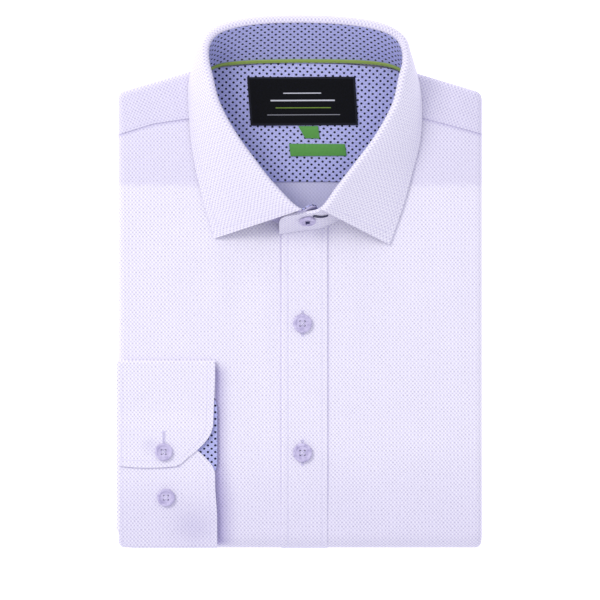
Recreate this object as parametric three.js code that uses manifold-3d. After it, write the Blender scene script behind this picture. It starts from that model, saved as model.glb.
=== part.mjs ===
// A long sleeve dress shirt, folded flat as for a shelf, with its collar standing open.
// Millimetres, +X to the right of the shirt as it lies, +Y towards the collar, +Z up.
// The shirt lies on z = 0. Every cloth piece is a closed wall of its own.

import * as THREE from 'three';
import { mergeVertices } from 'three/addons/utils/BufferGeometryUtils.js';
import Module from 'manifold-3d';

const wasm = await Module();
wasm.setup();

// Folded body
const HALF_WIDTH = 124;
const FOLD_AXIS_Y = -171;
const STACK_HEIGHT = 20;
const MID_HEIGHT = STACK_HEIGHT / 2;
const LOBE_GAP = 1.6;
const CLOTH = 1.2;
const SEAM_GAP = 0.3;
const LOBE_RADIUS = (MID_HEIGHT - LOBE_GAP) / 2;
const LOBE_MIDDLE = LOBE_GAP + LOBE_RADIUS;
const ARC_STEPS = 6;
const BEND_STEPS = 10;
const SIDE_RETURN = 30;
const LAP = 1;
const FAR = 260;
const SLIVER = 0.02;
const MERGE_DISTANCE = 1e-4;

// Right half of the body's outline from the side fold up to the back of the neck
const SHOULDER_OUTLINE = [
  { x: HALF_WIDTH, y: 127.5 },
  { x: 122.4, y: 130.2 },
  { x: 60, y: 148.8 },
  { x: 30, y: 151.6 },
  { x: 0, y: 152.5 },
];

// Seam where the yoke meets the fronts
const YOKE_SEAM = [
  { x: -140, y: 96 },
  { x: -122.4, y: 101.3 },
  { x: -99.6, y: 108.3 },
  { x: -78.3, y: 111.5 },
  { x: -50, y: 114 },
  { x: 50, y: 115.5 },
  { x: 82.7, y: 112.5 },
  { x: 119.9, y: 102.5 },
  { x: 140, y: 97 },
];

// Placket
const PLACKET_LEFT = -12.6;
const PLACKET_RIGHT = 18.8;
const PLACKET_RAISE = 0.6;
const PLACKET_CLOTH = 1.6;
const PLACKET_THINNING = 2 / 3;
const NECK_TOP_OF_PLACKET = 60;
const BUTTON_LINE = 1.7;

// Shirt tail, folded up behind
const HEM_CENTRE = 80;
const HEM_SIDE = 30;
const HEM_STEPS = 12;

// Neck: inside of the yoke and back, seen through the collar
const NECK_FLOOR = 15;
const LINING_BOTTOM = 15.3;
const LINING_TOP = 16.5;
const LINING_HALF_WIDTH = 77.5;
const LINING_HEM = 69.1;
const LINING_INSET = 1.7;
const BACK_LOWER_EDGE = 22.5;
const RECESS_HALF = 78;
const RECESS_FRONT_Y = 22;
const NECK_BACK_HALF = 62;
const NECK_BACK_FRONT_Y = 130;

// Hidden layers: how far each is set back from the outline, the heights between which it
// lies, where it ends at the bottom fold, and whether the tail's hem cuts it off
const HIDDEN_LAYERS = [
  { inset: 0.7, low: 0, high: 4.3, bottom: FOLD_AXIS_Y, aboveHem: true },
  { inset: 1.6, low: 4.1, high: 8.4, bottom: FOLD_AXIS_Y, aboveHem: true },
  { inset: 2.2, low: 8.7, high: 10.1, bottom: -169, aboveHem: false },
  { inset: 1.2, low: 9.9, high: 11.3, bottom: -169, aboveHem: false },
];
const HEART_BOTTOM = 2.2;

// Collar stand, round the neck from its under end to its over end.
// seam is the middle of the wall at the neck seam, top its middle at the upper edge, and
// leaf the outer edge of the leaf that turns down from there, where the stand carries one.
const STAND_STATIONS = [
  { seam: [13.0, 42.6, 20.5], top: [11.5, 52.8, 44.0] },
  { seam: [6.5, 41.2, 20.5], top: [6.0, 51.0, 46.0] },
  { seam: [-6.0, 40.2, 20.5], top: [-1.7, 51.2, 46.2], leaf: [-58.0, 31.0, 22.6] },
  { seam: [-25.8, 47.4, 20.5], top: [-17.4, 66.3, 46.0], leaf: [-64.2, 51.5, 22.2] },
  { seam: [-40.8, 63.8, 20.5], top: [-32.1, 82.8, 45.8], leaf: [-69.8, 74.0, 22.0] },
  { seam: [-53.7, 82.9, 20.5], top: [-45.9, 101.7, 45.6], leaf: [-73.4, 96.0, 22.0] },
  { seam: [-62.9, 102.6, 20.5], top: [-55.1, 121.3, 45.4], leaf: [-75.0, 116.0, 22.0] },
  { seam: [-68.3, 121.7, 20.5], top: [-59.2, 138.1, 45.0], leaf: [-75.3, 134.0, 22.0] },
  { seam: [-69.0, 133.9, 20.4], top: [-61.4, 148.2, 44.4], leaf: [-73.0, 145.6, 21.4] },
  { seam: [-65.6, 142.5, 19.8], top: [-61.2, 158.4, 43.4], leaf: [-68.2, 157.5, 15.0] },
  { seam: [-57.5, 147.6, 18.8], top: [-56.0, 166.0, 42.2], leaf: [-60.0, 169.6, 8.0] },
  { seam: [-42.0, 150.0, 17.9], top: [-40.4, 171.8, 41.2], leaf: [-41.1, 175.6, 5.0] },
  { seam: [3.7, 151.2, 17.7], top: [3.7, 174.6, 40.8], leaf: [3.8, 178.2, 3.6] },
  { seam: [50.0, 150.0, 17.9], top: [48.4, 170.6, 41.2], leaf: [49.6, 174.4, 5.0] },
  { seam: [64.6, 147.2, 18.8], top: [63.4, 164.5, 42.2], leaf: [66.0, 167.6, 8.0] },
  { seam: [72.8, 142.4, 19.8], top: [68.4, 157.2, 43.4], leaf: [72.8, 156.5, 15.0] },
  { seam: [76.3, 133.9, 20.4], top: [69.3, 147.6, 44.4], leaf: [77.6, 144.6, 21.4] },
  { seam: [75.6, 121.7, 20.5], top: [66.9, 137.5, 45.0], leaf: [81.0, 133.0, 22.0] },
  { seam: [70.3, 102.6, 20.5], top: [63.0, 119.9, 45.4], leaf: [82.3, 116.0, 22.0] },
  { seam: [61.2, 82.9, 20.5], top: [55.0, 99.1, 45.6], leaf: [80.9, 95.5, 22.0] },
  { seam: [48.2, 63.8, 20.5], top: [40.2, 77.8, 45.8], leaf: [76.0, 75.5, 22.0] },
  { seam: [34.0, 48.8, 20.7], top: [27.5, 63.4, 45.8], leaf: [69.8, 52.5, 22.2] },
  { seam: [14.9, 38.8, 21.4], top: [14.6, 50.0, 45.4], leaf: [61.3, 28.1, 22.6] },
  { seam: [1.4, 36.7, 21.4], top: [1.0, 46.8, 44.6] },
  { seam: [-8.0, 35.2, 21.4], top: [-7.6, 45.6, 43.6] },
  { seam: [-12.6, 34.4, 21.4], top: [-12.2, 45.0, 42.8] },
];
const FIRST_LEAF_STATION = 2;

const STAND_CLOTH = 1;
const STAND_HALF_GAP = 0.15;
const STAND_END_RADIUS = 6;
const STAND_END_STATIONS = 3;
const STAND_ROWS = 2;
const STATION_STEPS = 3;
const LEAF_CLOTH = 1.9;
const LEAF_RISE = 0.7;
const LEAF_ROLL_RADIUS = 2.1;
const LEAF_BULGE = 0.24;
const LEAF_ROLL_STEPS = 5;
const LEAF_FALL_STEPS = 5;
const NECK_EDGE_GROWTH = 1.5;

// Tape and labels on the lining
const TAPE_WIDTH = 2.6;
const TAPE_CLOTH = 1;
const TAPE_FIRST_STATION = 8;
const TAPE_LAST_STATION = 16;
const LABEL_BOTTOM = LINING_TOP + SEAM_GAP;
const LABEL_CLOTH = 1;
const LABEL_MAIN = [[-36.1, 140.3], [37.5, 140.6], [39.6, 107.6], [-33.6, 107.2]];
const LABEL_SIZE = [[-1.2, 106.9], [12.4, 106.9], [13.4, 98.4], [3.6, 98.6]];
const LABEL_FIT = [[-7.4, 94.9], [30.6, 94.7], [31.8, 86.7], [-6.4, 86.4]];

// Sleeve and cuff brought to the front, over the left side fold
const CUFF_LEFT = -122.3;
const CUFF_RIGHT = -57.6;
const CUFF_TOP_Y = -53;
const CUFF_BOTTOM_Y = -179.4;
const CUFF_CLOTH = 1;
const CUFF_BACK_Z = STACK_HEIGHT + SEAM_GAP + CUFF_CLOTH / 2;
const CUFF_FACING_Z = CUFF_BACK_Z + CUFF_CLOTH + SEAM_GAP;
const CUFF_UNDER_Z = CUFF_FACING_Z + CUFF_CLOTH + SEAM_GAP;
const CUFF_OVER_Z = CUFF_UNDER_Z + CUFF_CLOTH + SEAM_GAP;
const CUFF_OVER_END_Y = -125.4;
const CUFF_UNDER_END_Y = -101;
const CUFF_CORNER_X = -82;
const CUFF_CORNER_LENGTH = 30;
const CUFF_RAMP_CLEARANCE = 2;
const CUFF_RAMP_LENGTH = 12;
const CUFF_FOLD_STEPS = 4;
const CUFF_LONG_STEPS = 8;
const CUFF_SHORT_STEPS = 3;
const CUFF_COLUMNS = 3;
const CUFF_FOLD_CORNER = 9;
const CUFF_FACING_RIGHT = -56.2;
const CUFF_FACING_INSET = 2.3;
const SLEEVE_CLOTH = 1.1;
const SLEEVE_BOTTOM_Y = -168;
const SLEEVE_RETURN_X = -98;
const SLEEVE_ARC_STEPS = 5;

// Buttons
const FRONT_BUTTON = { diameter: 12.8, thickness: 2.6, hole: 1.3, spread: 1.5 };
const CUFF_BUTTON = { diameter: 11.8, thickness: 2.4, hole: 1.2, spread: 1.4 };
const COLLAR_BUTTON = { diameter: 11, thickness: 2.2, hole: 1.2, spread: 1.3 };
const BUTTON_EDGE = 0.2;
const BUTTON_RIM = 0.78;
const BUTTON_DISH = 0.66;
const BUTTON_DISH_HEIGHT = 0.76;
const BUTTON_SEGMENTS = 20;
const HOLE_SEGMENTS = 6;
const COLLAR_BUTTON_STATION = 22.7;
const COLLAR_BUTTON_HEIGHT = 0.62;

// Materials
const cloth = (name, color) =>
  new THREE.MeshStandardMaterial({ name, color, roughness: 0.85, metalness: 0 });
const shirting = cloth('shirting', 0xeae6f7);
const dotted = cloth('dotted_lining', 0xa4a8dc);
const inside = cloth('shirting_inside', 0xc9c7e6);
const green = cloth('green_trim', 0x5daa50);
const black = cloth('black_label', 0x16181c);
const plastic = new THREE.MeshStandardMaterial({
  name: 'button', color: 0xcfc8e0, roughness: 0.35, metalness: 0,
});

// Helpers for closed solids

function toManifold(positions, triangles) {
  const solid = new wasm.Manifold(new wasm.Mesh({
    numProp: 3,
    vertProperties: Float32Array.from(positions),
    triVerts: Uint32Array.from(triangles),
  }));
  if (solid.volume() >= 0) return solid;
  const turned = [];
  for (let i = 0; i < triangles.length; i += 3) {
    turned.push(triangles[i], triangles[i + 2], triangles[i + 1]);
  }
  return new wasm.Manifold(new wasm.Mesh({
    numProp: 3,
    vertProperties: Float32Array.from(positions),
    triVerts: Uint32Array.from(turned),
  }));
}

function fromGeometry(geometry) {
  const bare = geometry.clone();
  bare.deleteAttribute('normal');
  bare.deleteAttribute('uv');
  const merged = mergeVertices(bare, MERGE_DISTANCE);
  return toManifold(merged.attributes.position.array, merged.index.array);
}

function toGeometry(solid) {
  const mesh = solid.getMesh();
  const geometry = new THREE.BufferGeometry();
  geometry.setAttribute('position', new THREE.BufferAttribute(mesh.vertProperties, 3));
  geometry.setIndex(new THREE.BufferAttribute(mesh.triVerts, 1));
  geometry.computeVertexNormals();
  return geometry;
}

// A solid through closed rings of equally many points, with a flat lid on each end
function loft(rings) {
  const count = rings[0].length;
  const positions = rings.flat(2);
  const triangles = [];
  for (let r = 0; r < rings.length - 1; r += 1) {
    for (let i = 0; i < count; i += 1) {
      const next = (i + 1) % count;
      const a = r * count + i;
      const b = r * count + next;
      triangles.push(a, b, b + count, a, b + count, a + count);
    }
  }
  const last = (rings.length - 1) * count;
  for (let i = 1; i < count - 1; i += 1) {
    triangles.push(0, i + 1, i, last, last + i, last + i + 1);
  }
  return toManifold(positions, triangles);
}

// A flat plate with a straight wall, from a plan outline and two heights
function plate(outline, low, high) {
  const contour = outline.map((p) => new THREE.Vector2(p[0], p[1]));
  if (THREE.ShapeUtils.isClockWise(contour)) contour.reverse();
  const count = contour.length;
  const positions = [];
  [low, high].forEach((z) => contour.forEach((p) => positions.push(p.x, p.y, z)));
  const triangles = [];
  THREE.ShapeUtils.triangulateShape(contour, []).forEach(([i, j, k]) => {
    triangles.push(i, k, j, count + i, count + j, count + k);
  });
  for (let i = 0; i < count; i += 1) {
    const next = (i + 1) % count;
    triangles.push(i, next, count + next, i, count + next, count + i);
  }
  return toManifold(positions, triangles);
}

function block(x0, x1, y0, y1, z0, z1) {
  return plate([[x0, y0], [x1, y0], [x1, y1], [x0, y1]], z0, z1);
}

// A cloth wall from a grid of points, between two distances along its normals
function wall(grid, outer, inner) {
  const rows = grid.length;
  const columns = grid[0].length;
  const normals = grid.map((row, r) => row.map((_, c) => {
    const along = new THREE.Vector3().subVectors(
      grid[Math.min(r + 1, rows - 1)][c], grid[Math.max(r - 1, 0)][c]);
    const across = new THREE.Vector3().subVectors(
      row[Math.min(c + 1, columns - 1)], row[Math.max(c - 1, 0)]);
    return along.cross(across).normalize();
  }));
  const positions = [];
  [outer, inner].forEach((distance) => grid.forEach((row, r) => row.forEach((point, c) => {
    positions.push(...point.clone().addScaledVector(normals[r][c], distance).toArray());
  })));
  const size = rows * columns;
  const triangles = [];
  const quad = (a, b, c, d) => triangles.push(a, b, c, a, c, d);
  for (let r = 0; r < rows - 1; r += 1) {
    for (let c = 0; c < columns - 1; c += 1) {
      const at = r * columns + c;
      quad(at, at + 1, at + columns + 1, at + columns);
      quad(size + at, size + at + columns, size + at + columns + 1, size + at + 1);
    }
  }
  for (let c = 0; c < columns - 1; c += 1) {
    const end = (rows - 1) * columns + c;
    quad(c, size + c, size + c + 1, c + 1);
    quad(end, end + 1, size + end + 1, size + end);
  }
  for (let r = 0; r < rows - 1; r += 1) {
    const first = r * columns;
    const last = first + columns - 1;
    quad(first, first + columns, size + first + columns, size + first);
    quad(last, size + last, size + last + columns, last + columns);
  }
  return toManifold(positions, triangles);
}

// The body's outline in plan
const FULL_OUTLINE = [
  [-HALF_WIDTH, FOLD_AXIS_Y],
  [HALF_WIDTH, FOLD_AXIS_Y],
  ...SHOULDER_OUTLINE.map((p) => [p.x, p.y]),
  ...SHOULDER_OUTLINE.slice(0, -1).reverse().map((p) => [-p.x, p.y]),
];

// The same outline without its short corner edges, for deep insets
const PLAIN_OUTLINE = FULL_OUTLINE.filter((p) => Math.abs(p[0]) !== SHOULDER_OUTLINE[1].x);

// An outline moved inward by an inset, but for its bottom edge, which goes to a given line
function insetOutline(outline, inset, bottomEdge = outline[0][1]) {
  const count = outline.length;
  const edges = outline.map((point, i) => {
    const next = outline[(i + 1) % count];
    const length = Math.hypot(next[0] - point[0], next[1] - point[1]);
    const normal = [(next[1] - point[1]) / length, (point[0] - next[0]) / length];
    const offset = i === 0
      ? -bottomEdge
      : point[0] * normal[0] + point[1] * normal[1] - inset;
    return { normal, offset };
  });
  return outline.map((_, i) => {
    const before = edges[(i + count - 1) % count];
    const after = edges[i];
    const cross = before.normal[0] * after.normal[1] - before.normal[1] * after.normal[0];
    return [
      (before.offset * after.normal[1] - after.offset * before.normal[1]) / cross,
      (after.offset * before.normal[0] - before.offset * after.normal[0]) / cross,
    ];
  });
}

// A flat slab whose edge is rounded all round except at the bottom edge
function roundedSlab(outline, inset, low, high, bottomEdge) {
  const radius = (high - low) / 2;
  const rings = [];
  for (let i = 0; i <= ARC_STEPS; i += 1) {
    const angle = -Math.PI / 2 + (Math.PI * i) / ARC_STEPS;
    const ring = insetOutline(outline, inset + radius * (1 - Math.cos(angle)), bottomEdge);
    const height = low + radius + radius * Math.sin(angle);
    rings.push(ring.map((p) => [p[0], p[1], height]));
  }
  return loft(rings);
}

// Folded body: cloth lobe above, round the bottom fold, and the shirt tail below

function hemOutline(extra) {
  const points = [[-FAR, -FAR], [FAR, -FAR], [FAR, HEM_SIDE + extra]];
  for (let i = 0; i <= HEM_STEPS; i += 1) {
    const x = HALF_WIDTH * (1 - (2 * i) / HEM_STEPS);
    const wave = (1 + Math.cos((Math.PI * x) / HALF_WIDTH)) / 2;
    points.push([x, HEM_SIDE + (HEM_CENTRE - HEM_SIDE) * wave + extra]);
  }
  points.push([-FAR, HEM_SIDE + extra]);
  return points;
}

function bottomBend(inset) {
  const radius = LOBE_RADIUS - inset;
  const section = [];
  [1, -1].forEach((side) => {
    for (let i = 0; i <= ARC_STEPS; i += 1) {
      const angle = side * (-Math.PI / 2 + (Math.PI * i) / ARC_STEPS);
      const x = side * (HALF_WIDTH - LOBE_RADIUS + radius * Math.cos(angle));
      section.push([x, LOBE_MIDDLE + radius * Math.sin(angle)]);
    }
  });
  const place = (straight, turn) => section.map(([x, h]) =>
    [x, FOLD_AXIS_Y + straight - h * Math.sin(turn), MID_HEIGHT + h * Math.cos(turn)]);
  const rings = [place(LAP, 0)];
  for (let i = 0; i <= BEND_STEPS; i += 1) rings.push(place(0, (Math.PI * i) / BEND_STEPS));
  rings.push(place(LAP, Math.PI));
  return loft(rings);
}

const TAIL_OUTLINE = [
  [-HALF_WIDTH, FOLD_AXIS_Y],
  [HALF_WIDTH, FOLD_AXIS_Y],
  [HALF_WIDTH, HEM_CENTRE + HEM_SIDE],
  [-HALF_WIDTH, HEM_CENTRE + HEM_SIDE],
];

function lobe(inset, hemExtra) {
  const low = MID_HEIGHT + LOBE_GAP + inset;
  const high = STACK_HEIGHT - inset;
  const upper = roundedSlab(FULL_OUTLINE, inset, low, high);
  const tail = roundedSlab(TAIL_OUTLINE, inset, STACK_HEIGHT - high, STACK_HEIGHT - low)
    .intersect(plate(hemOutline(hemExtra), -FAR, MID_HEIGHT));
  return upper.add(bottomBend(inset)).add(tail);
}

// Collar lines, smoothed through the stations

const curveThrough = (points) =>
  new THREE.CatmullRomCurve3(points.map((p) => new THREE.Vector3(...p)));
const LEAF_STATIONS = STAND_STATIONS.filter((s) => s.leaf);
const LAST_STATION = STAND_STATIONS.length - 1;
const standSeam = curveThrough(STAND_STATIONS.map((s) => s.seam));
const standTop = curveThrough(STAND_STATIONS.map((s) => s.top));
const leafEdge = curveThrough(LEAF_STATIONS.map((s) => s.leaf));

function standAt(station) {
  const at = station / LAST_STATION;
  return { seam: standSeam.getPoint(at), top: standTop.getPoint(at) };
}

// Share of the stand's height that the rounded corner of its nearer end leaves
function endShare(station, seam, height) {
  const nearStart = station < STAND_END_STATIONS;
  const nearEnd = station > LAST_STATION - STAND_END_STATIONS;
  if (!nearStart && !nearEnd) return 1;
  const distance = seam.distanceTo(standAt(nearStart ? 0 : LAST_STATION).seam);
  const reach = Math.max(0, STAND_END_RADIUS - distance);
  const drop = STAND_END_RADIUS - Math.sqrt(STAND_END_RADIUS ** 2 - reach ** 2);
  return 1 - drop / height;
}

// Grid over the stand between two stations, up to its top or to a given width above the seam
function standGrid(first, last, width) {
  const grid = [];
  const steps = (last - first) * STATION_STEPS;
  for (let i = 0; i <= steps; i += 1) {
    const station = first + i / STATION_STEPS;
    const { seam, top } = standAt(station);
    const height = seam.distanceTo(top);
    const share = width ? width / height : endShare(station, seam, height);
    const row = [];
    for (let j = 0; j <= STAND_ROWS; j += 1) {
      row.push(seam.clone().lerp(top, (share * j) / STAND_ROWS));
    }
    grid.push(row);
  }
  return grid;
}

// One line across the leaf: up from the stand, over the roll and down to the outer edge
function leafLine(start, edge, standDirection) {
  const outward = new THREE.Vector3(edge.x - start.x, edge.y - start.y, 0);
  const reach = outward.length();
  outward.normalize();
  const drop = edge.z - start.z;
  const startAngle = Math.atan2(standDirection.z, standDirection.dot(outward));
  const rolled = (angle) => ({
    out: LEAF_ROLL_RADIUS * (Math.sin(startAngle) - Math.sin(angle)),
    up: LEAF_ROLL_RADIUS * (Math.cos(angle) - Math.cos(startAngle)),
  });
  const crest = rolled(0);
  const endAngle = Math.atan2(drop - crest.up, reach - crest.out) + LEAF_BULGE;
  const line = [];
  for (let i = 0; i <= LEAF_ROLL_STEPS; i += 1) {
    line.push(rolled(startAngle + ((endAngle - startAngle) * i) / LEAF_ROLL_STEPS));
  }
  const from = line[line.length - 1];
  const length = Math.hypot(reach - from.out, drop - from.up);
  const control = {
    out: from.out + (length / 2) * Math.cos(endAngle),
    up: from.up + (length / 2) * Math.sin(endAngle),
  };
  for (let i = 1; i <= LEAF_FALL_STEPS; i += 1) {
    const t = i / LEAF_FALL_STEPS;
    const mix = (key, end) =>
      (1 - t) ** 2 * from[key] + 2 * t * (1 - t) * control[key] + t ** 2 * end;
    line.push({ out: mix('out', reach), up: mix('up', drop) });
  }
  return line.map((p) => {
    const point = start.clone().addScaledVector(outward, p.out);
    point.z += p.up;
    return point;
  });
}

function leafGrid() {
  const grid = [];
  const steps = (LEAF_STATIONS.length - 1) * STATION_STEPS;
  for (let i = 0; i <= steps; i += 1) {
    const { seam, top } = standAt(FIRST_LEAF_STATION + i / STATION_STEPS);
    const direction = new THREE.Vector3().subVectors(top, seam).normalize();
    const start = top.clone().addScaledVector(direction, LEAF_RISE);
    grid.push(leafLine(start, leafEdge.getPoint(i / steps), direction));
  }
  return grid;
}

// Plan outline of the neck hole in the fronts and the yoke, just outside the stand
function neckOutline() {
  const points = [];
  for (let i = FIRST_LEAF_STATION * STATION_STEPS; i <= LAST_STATION * STATION_STEPS; i += 1) {
    const at = i / (LAST_STATION * STATION_STEPS);
    const seam = standSeam.getPoint(at);
    const along = standSeam.getTangent(at);
    const outward = new THREE.Vector2(-along.y, along.x).normalize();
    points.push([
      seam.x + NECK_EDGE_GROWTH * outward.x,
      seam.y + NECK_EDGE_GROWTH * outward.y,
    ]);
  }
  return points;
}

// Cuff: one strip from its over end round the top fold, behind, round the bottom fold and
// up to its under end, given by where it lies (y, z) along its length
function cuffPath() {
  const path = [];
  const radius = (CUFF_UNDER_Z - CUFF_BACK_Z) / 2;
  const middle = (CUFF_UNDER_Z + CUFF_BACK_Z) / 2;
  const topFold = CUFF_TOP_Y - radius;
  const bottomFold = CUFF_BOTTOM_Y + radius;
  const rampStart = CUFF_UNDER_END_Y + CUFF_RAMP_CLEARANCE;
  const rampEnd = rampStart + CUFF_RAMP_LENGTH;
  const straight = (y0, y1, z0, z1, count) => {
    for (let i = 0; i < count; i += 1) {
      path.push([y0 + ((y1 - y0) * i) / count, z0 + ((z1 - z0) * i) / count]);
    }
  };
  const fold = (y, side) => {
    for (let i = 0; i < CUFF_FOLD_STEPS; i += 1) {
      const angle = (Math.PI * i) / CUFF_FOLD_STEPS;
      path.push([y + side * radius * Math.sin(angle), middle + side * radius * Math.cos(angle)]);
    }
  };
  straight(CUFF_OVER_END_Y, rampStart, CUFF_OVER_Z, CUFF_OVER_Z, CUFF_LONG_STEPS);
  straight(rampStart, rampEnd, CUFF_OVER_Z, CUFF_UNDER_Z, CUFF_SHORT_STEPS);
  straight(rampEnd, topFold, CUFF_UNDER_Z, CUFF_UNDER_Z, CUFF_SHORT_STEPS);
  fold(topFold, 1);
  straight(topFold, bottomFold, CUFF_BACK_Z, CUFF_BACK_Z, CUFF_LONG_STEPS);
  fold(bottomFold, -1);
  straight(bottomFold, CUFF_UNDER_END_Y, CUFF_UNDER_Z, CUFF_UNDER_Z, CUFF_LONG_STEPS);
  path.push([CUFF_UNDER_END_Y, CUFF_UNDER_Z]);
  return path;
}

// Right edge of the cuff: both its ends have a slanted, rounded corner on the opening side
function cuffRight(fromEnd) {
  const t = Math.min(1, fromEnd / CUFF_CORNER_LENGTH);
  const share = (t + Math.sin((t * Math.PI) / 2)) / 2;
  return CUFF_CORNER_X + (CUFF_RIGHT - CUFF_CORNER_X) * share;
}

// Left edge of the cuff: its corner at the bottom fold is rounded
function cuffLeft(y) {
  const t = Math.max(0, Math.min(1, (CUFF_BOTTOM_Y + CUFF_FOLD_CORNER - y) / CUFF_FOLD_CORNER));
  return CUFF_LEFT + CUFF_FOLD_CORNER * (1 - Math.sqrt(1 - t * t));
}

function cuffGrid() {
  const path = cuffPath();
  const travelled = [0];
  for (let i = 1; i < path.length; i += 1) {
    const step = Math.hypot(path[i][0] - path[i - 1][0], path[i][1] - path[i - 1][1]);
    travelled.push(travelled[i - 1] + step);
  }
  const total = travelled[travelled.length - 1];
  return path.map(([y, z], i) => {
    const right = cuffRight(Math.min(travelled[i], total - travelled[i]));
    const left = cuffLeft(y);
    const row = [];
    for (let c = 0; c <= CUFF_COLUMNS; c += 1) {
      row.push(new THREE.Vector3(left + ((right - left) * c) / CUFF_COLUMNS, y, z));
    }
    return row;
  });
}

// Sleeve: from the cuff's left edge down round the side fold and in under the upper lobe
function sleeveGrid(extra) {
  const axisX = LOBE_RADIUS - HALF_WIDTH;
  const axisZ = MID_HEIGHT + LOBE_MIDDLE;
  const radius = LOBE_RADIUS + SEAM_GAP + SLEEVE_CLOTH / 2;
  const lip = CUFF_LEFT - SEAM_GAP - (axisX - radius);
  const section = [];
  for (let i = 0; i <= SLEEVE_ARC_STEPS; i += 1) {
    const angle = ((Math.PI / 2) * i) / SLEEVE_ARC_STEPS;
    section.push([
      axisX - radius + lip * (1 - Math.sin(angle)),
      CUFF_UNDER_Z - lip * (1 - Math.cos(angle)),
    ]);
  }
  for (let i = 0; i <= SLEEVE_ARC_STEPS; i += 1) {
    const angle = ((Math.PI / 2) * i) / SLEEVE_ARC_STEPS;
    section.push([axisX - radius * Math.cos(angle), axisZ - radius * Math.sin(angle)]);
  }
  section.push([SLEEVE_RETURN_X + extra, axisZ - radius]);
  const ends = [SLEEVE_BOTTOM_Y - extra, CUFF_TOP_Y - SEAM_GAP + extra];
  return section.map(([x, z]) => ends.map((y) => new THREE.Vector3(x, y, z)));
}

// Placket: a strip with a slight raise on the front that ends level with the cloth below
function placket() {
  const ring = (y, z, normalY, normalZ, raise) => {
    const inner = raise - PLACKET_CLOTH + (PLACKET_RAISE - raise) * PLACKET_THINNING;
    const corners = [
      [PLACKET_LEFT, inner],
      [PLACKET_RIGHT, inner],
      [PLACKET_RIGHT, raise],
      [PLACKET_LEFT, raise],
    ];
    return corners.map(([x, h]) => [x, y + normalY * h, z + normalZ * h]);
  };
  const rings = [ring(HEM_CENTRE, STACK_HEIGHT, 0, 1, PLACKET_RAISE)];
  for (let i = 0; i <= BEND_STEPS; i += 1) {
    const turn = (Math.PI * i) / BEND_STEPS;
    const y = FOLD_AXIS_Y - MID_HEIGHT * Math.sin(turn);
    const z = MID_HEIGHT + MID_HEIGHT * Math.cos(turn);
    rings.push(ring(y, z, -Math.sin(turn), Math.cos(turn), PLACKET_RAISE * (1 - i / BEND_STEPS)));
  }
  rings.push(ring(HEM_CENTRE + HEM_SIDE, 0, 0, -1, 0));
  return loft(rings)
    .subtract(plate(neckOutline(), NECK_FLOOR, FAR))
    .subtract(block(-FAR, FAR, NECK_TOP_OF_PLACKET, FAR, MID_HEIGHT, FAR))
    .subtract(block(-FAR, FAR, -FAR, FAR, -FAR, MID_HEIGHT)
      .subtract(plate(hemOutline(0), -2 * FAR, FAR)));
}

// Button with a rim, a dished middle and four holes, resting on z = 0
function button(size) {
  const radius = size.diameter / 2;
  const edge = size.thickness * BUTTON_EDGE;
  const dish = size.thickness * BUTTON_DISH_HEIGHT;
  const profile = [
    [0, 0],
    [radius - edge, 0],
    [radius, edge],
    [radius, size.thickness - edge],
    [radius - edge, size.thickness],
    [radius * BUTTON_RIM, size.thickness],
    [radius * BUTTON_DISH, dish],
    [0, dish],
  ];
  const lathe = new THREE.LatheGeometry(
    profile.map(([r, z]) => new THREE.Vector2(r, z)), BUTTON_SEGMENTS);
  lathe.rotateX(Math.PI / 2);
  let solid = fromGeometry(lathe);
  [[1, 1], [-1, 1], [-1, -1], [1, -1]].forEach(([sx, sy]) => {
    const hole = new THREE.CylinderGeometry(
      size.hole / 2, size.hole / 2, 3 * size.thickness, HOLE_SEGMENTS);
    hole.rotateX(Math.PI / 2);
    hole.translate(sx * size.spread, sy * size.spread, 0);
    solid = solid.subtract(fromGeometry(hole));
  });
  return solid;
}

// The folded body, cut into its pieces

const neckHole = plate(neckOutline(), LINING_BOTTOM - SEAM_GAP, FAR);
const behindNeck = block(-NECK_BACK_HALF, NECK_BACK_HALF, NECK_BACK_FRONT_Y, FAR, LINING_TOP, FAR);
const skin = lobe(0, 0)
  .subtract(lobe(CLOTH, 2 * CLOTH))
  .subtract(plate(
    insetOutline(PLAIN_OUTLINE, SIDE_RETURN, FOLD_AXIS_Y - LOBE_RADIUS),
    MID_HEIGHT - LOBE_GAP - 2 * CLOTH, MID_HEIGHT + LOBE_GAP + 2 * CLOTH))
  .subtract(neckHole);

const seamPoints = YOKE_SEAM.map((p) => [p.x, p.y]);
const seamShifted = (shift) => seamPoints.map(([x, y]) => [x, y + shift]);
const aboveSeam = plate(
  [...seamPoints, [FAR, FAR], [-FAR, FAR]], MID_HEIGHT, FAR);
const belowSeam = plate(
  [...seamShifted(-SEAM_GAP), [FAR, -FAR], [-FAR, -FAR]], MID_HEIGHT, FAR)
  .add(block(-FAR, FAR, -FAR, FAR, -FAR, MID_HEIGHT + SEAM_GAP));
const leftOfPlacket = block(-FAR, PLACKET_LEFT - SEAM_GAP, -FAR, FAR, -FAR, FAR);
const rightOfPlacket = block(PLACKET_RIGHT + SEAM_GAP, FAR, -FAR, FAR, -FAR, FAR);

const yoke = skin.intersect(aboveSeam).subtract(behindNeck);
const frontLeft = skin.intersect(belowSeam).intersect(leftOfPlacket);
const frontRight = skin.intersect(belowSeam).intersect(rightOfPlacket);

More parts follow.
